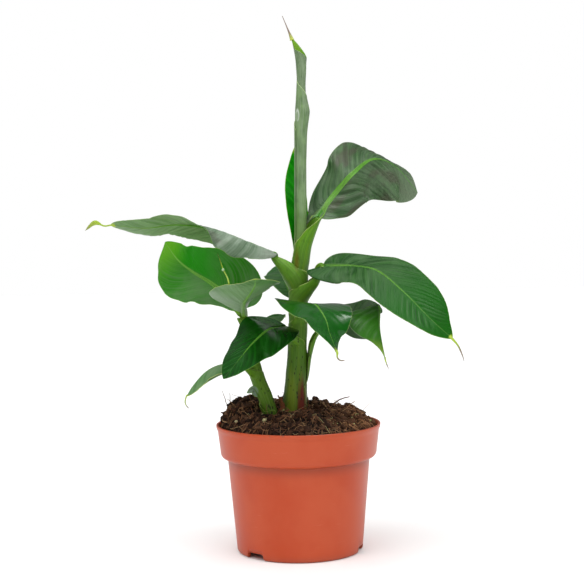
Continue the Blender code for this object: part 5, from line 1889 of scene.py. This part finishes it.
@dataclass(frozen=True)
class Studio:
    """Camera, soft lights and a pale floor."""

    camera_at: Point = (-3.1, -1091.0, 259.0)
    look_at: Point = (-3.1, 0.0, 190.0)
    roll: float = 0.9
    focal: float = 92.16
    sensor: float = 36.0
    floor_size: float = 6000.0

    def build(self) -> None:
        """Set up everything round the plant."""
        self.build_camera()
        self.build_world()
        self.build_floor()
        self.add_sun("sky_left", (-500, -450, 1000), 1.14, 50)
        self.add_sun("sky_right", (600, -450, 1000), 0.92, 50)
        self.add_light("overhead", (-100, 300, 1150), (0, 0, 150), 700, 2.5)
        self.add_light("front", (150, -1300, 500), (0, 0, 120), 800, 2.0)
        self.add_light("gloss", (420, -420, 1250), (20, -60, 170), 820, 26.0).visible_diffuse = False

    def build_camera(self) -> None:
        """Place the camera and make it the scene's."""
        data = bpy.data.cameras.new("camera")
        data.lens = self.focal
        data.sensor_width = self.sensor
        data.sensor_fit = "HORIZONTAL"
        data.clip_start = 0.01
        camera = add_object("camera", data)
        upright = self.facing(self.camera_at, self.look_at)
        camera.matrix_world = upright @ Matrix.Rotation(math.radians(-self.roll), 4, "Z")
        bpy.context.scene.camera = camera

    def build_world(self) -> None:
        """Surround the scene with white that the camera sees brighter than the plant does."""
        world = bpy.data.worlds.new("white_studio")
        bpy.context.scene.world = world
        world.use_nodes = True
        graph = Graph(world.node_tree)
        seen = world.node_tree.nodes["Background"]
        seen.inputs["Color"].default_value = (1, 1, 1, 1)
        seen.inputs["Strength"].default_value = 1.0
        up = graph.split(graph.add("ShaderNodeTexCoord").outputs["Generated"])[2]
        strength = graph.remap(up, -0.2, 1.0, 0.50, 0.75)
        ray = graph.add("ShaderNodeLightPath").outputs
        mirrored = graph.times(strength, graph.remap(ray["Is Glossy Ray"], 0.0, 1.0, 1.0, 0.45))
        lit = graph.add("ShaderNodeBackground", {"Color": (1.0, 1.0, 1.0), "Strength": mirrored})
        both = graph.add("ShaderNodeMixShader", {0: ray["Is Camera Ray"], 1: lit.outputs[0], 2: seen.outputs[0]})
        graph.feed(world.node_tree.nodes["World Output"].inputs["Surface"], both.outputs[0])
        view = bpy.context.scene.view_settings
        view.view_transform = "Standard"
        view.look = "None"

    def build_floor(self) -> None:
        """Lay the floor just below the pot."""
        half = self.floor_size / 2 * MM
        mesh = bpy.data.meshes.new("floor")
        mesh.from_pydata([(-half, -half, 0), (half, -half, 0), (half, half, 0), (-half, half, 0)], [], [(0, 1, 2, 3)])
        mesh.materials.append(FloorFinish("floor").build())
        floor = add_object("floor", mesh)
        floor.location.z = -0.0002

    @staticmethod
    def facing(place: Point, aim: Point) -> Matrix:
        """Stand at one point in millimetres and look at another, as the camera and the lights do."""
        start = Vector(place) * MM
        turn = (Vector(aim) * MM - start).to_track_quat("-Z", "Y").to_matrix().to_4x4()
        return Matrix.Translation(start) @ turn

    @staticmethod
    def add_sun(name: str, place: Point, strength: float, spread: float) -> None:
        """Add a wide sun, which lights the whole floor evenly.

        Args:
            name: Name of the light.
            place: Point that it shines from, towards the origin.
            strength: Strength in watts for each square metre.
            spread: Angle that it fills, in degrees.
        """
        data = bpy.data.lights.new(name, "SUN")
        data.energy = strength
        data.angle = math.radians(spread)
        sun = add_object(name, data)
        sun.matrix_world = Studio.facing((0.0, 0.0, 0.0), tuple(-value for value in place))

    @staticmethod
    def add_light(name: str, place: Point, aim: Point, size: float, power: float) -> Thing:
        """Add a square soft light.

        Args:
            name: Name of the light.
            place: Where it stands, in millimetres.
            aim: Point that it faces.
            size: Side of the square.
            power: Power in watts.

        Returns:
            The light.
        """
        data = bpy.data.lights.new(name, "AREA")
        data.shape = "SQUARE"
        data.size = size * MM
        data.energy = power
        light = add_object(name, data)
        light.matrix_world = Studio.facing(place, aim)
        return light


def main() -> None:
    """Build the plant and its studio, piece by piece."""
    logging.basicConfig(level=logging.INFO, format="%(message)s")
    Studio().build()
    Pot().build()
    SoilBed().build()
    DrySheaths().build()
    Tendril().build()
    for key, limb in LIMBS.items():
        limb.build_core(SKINS[key])
    SpearLeaf().build()
    for leaf in LEAVES:
        leaf.build_blade()
        leaf.build_stalk(LIMBS)


if __name__ == "__main__":
    main()
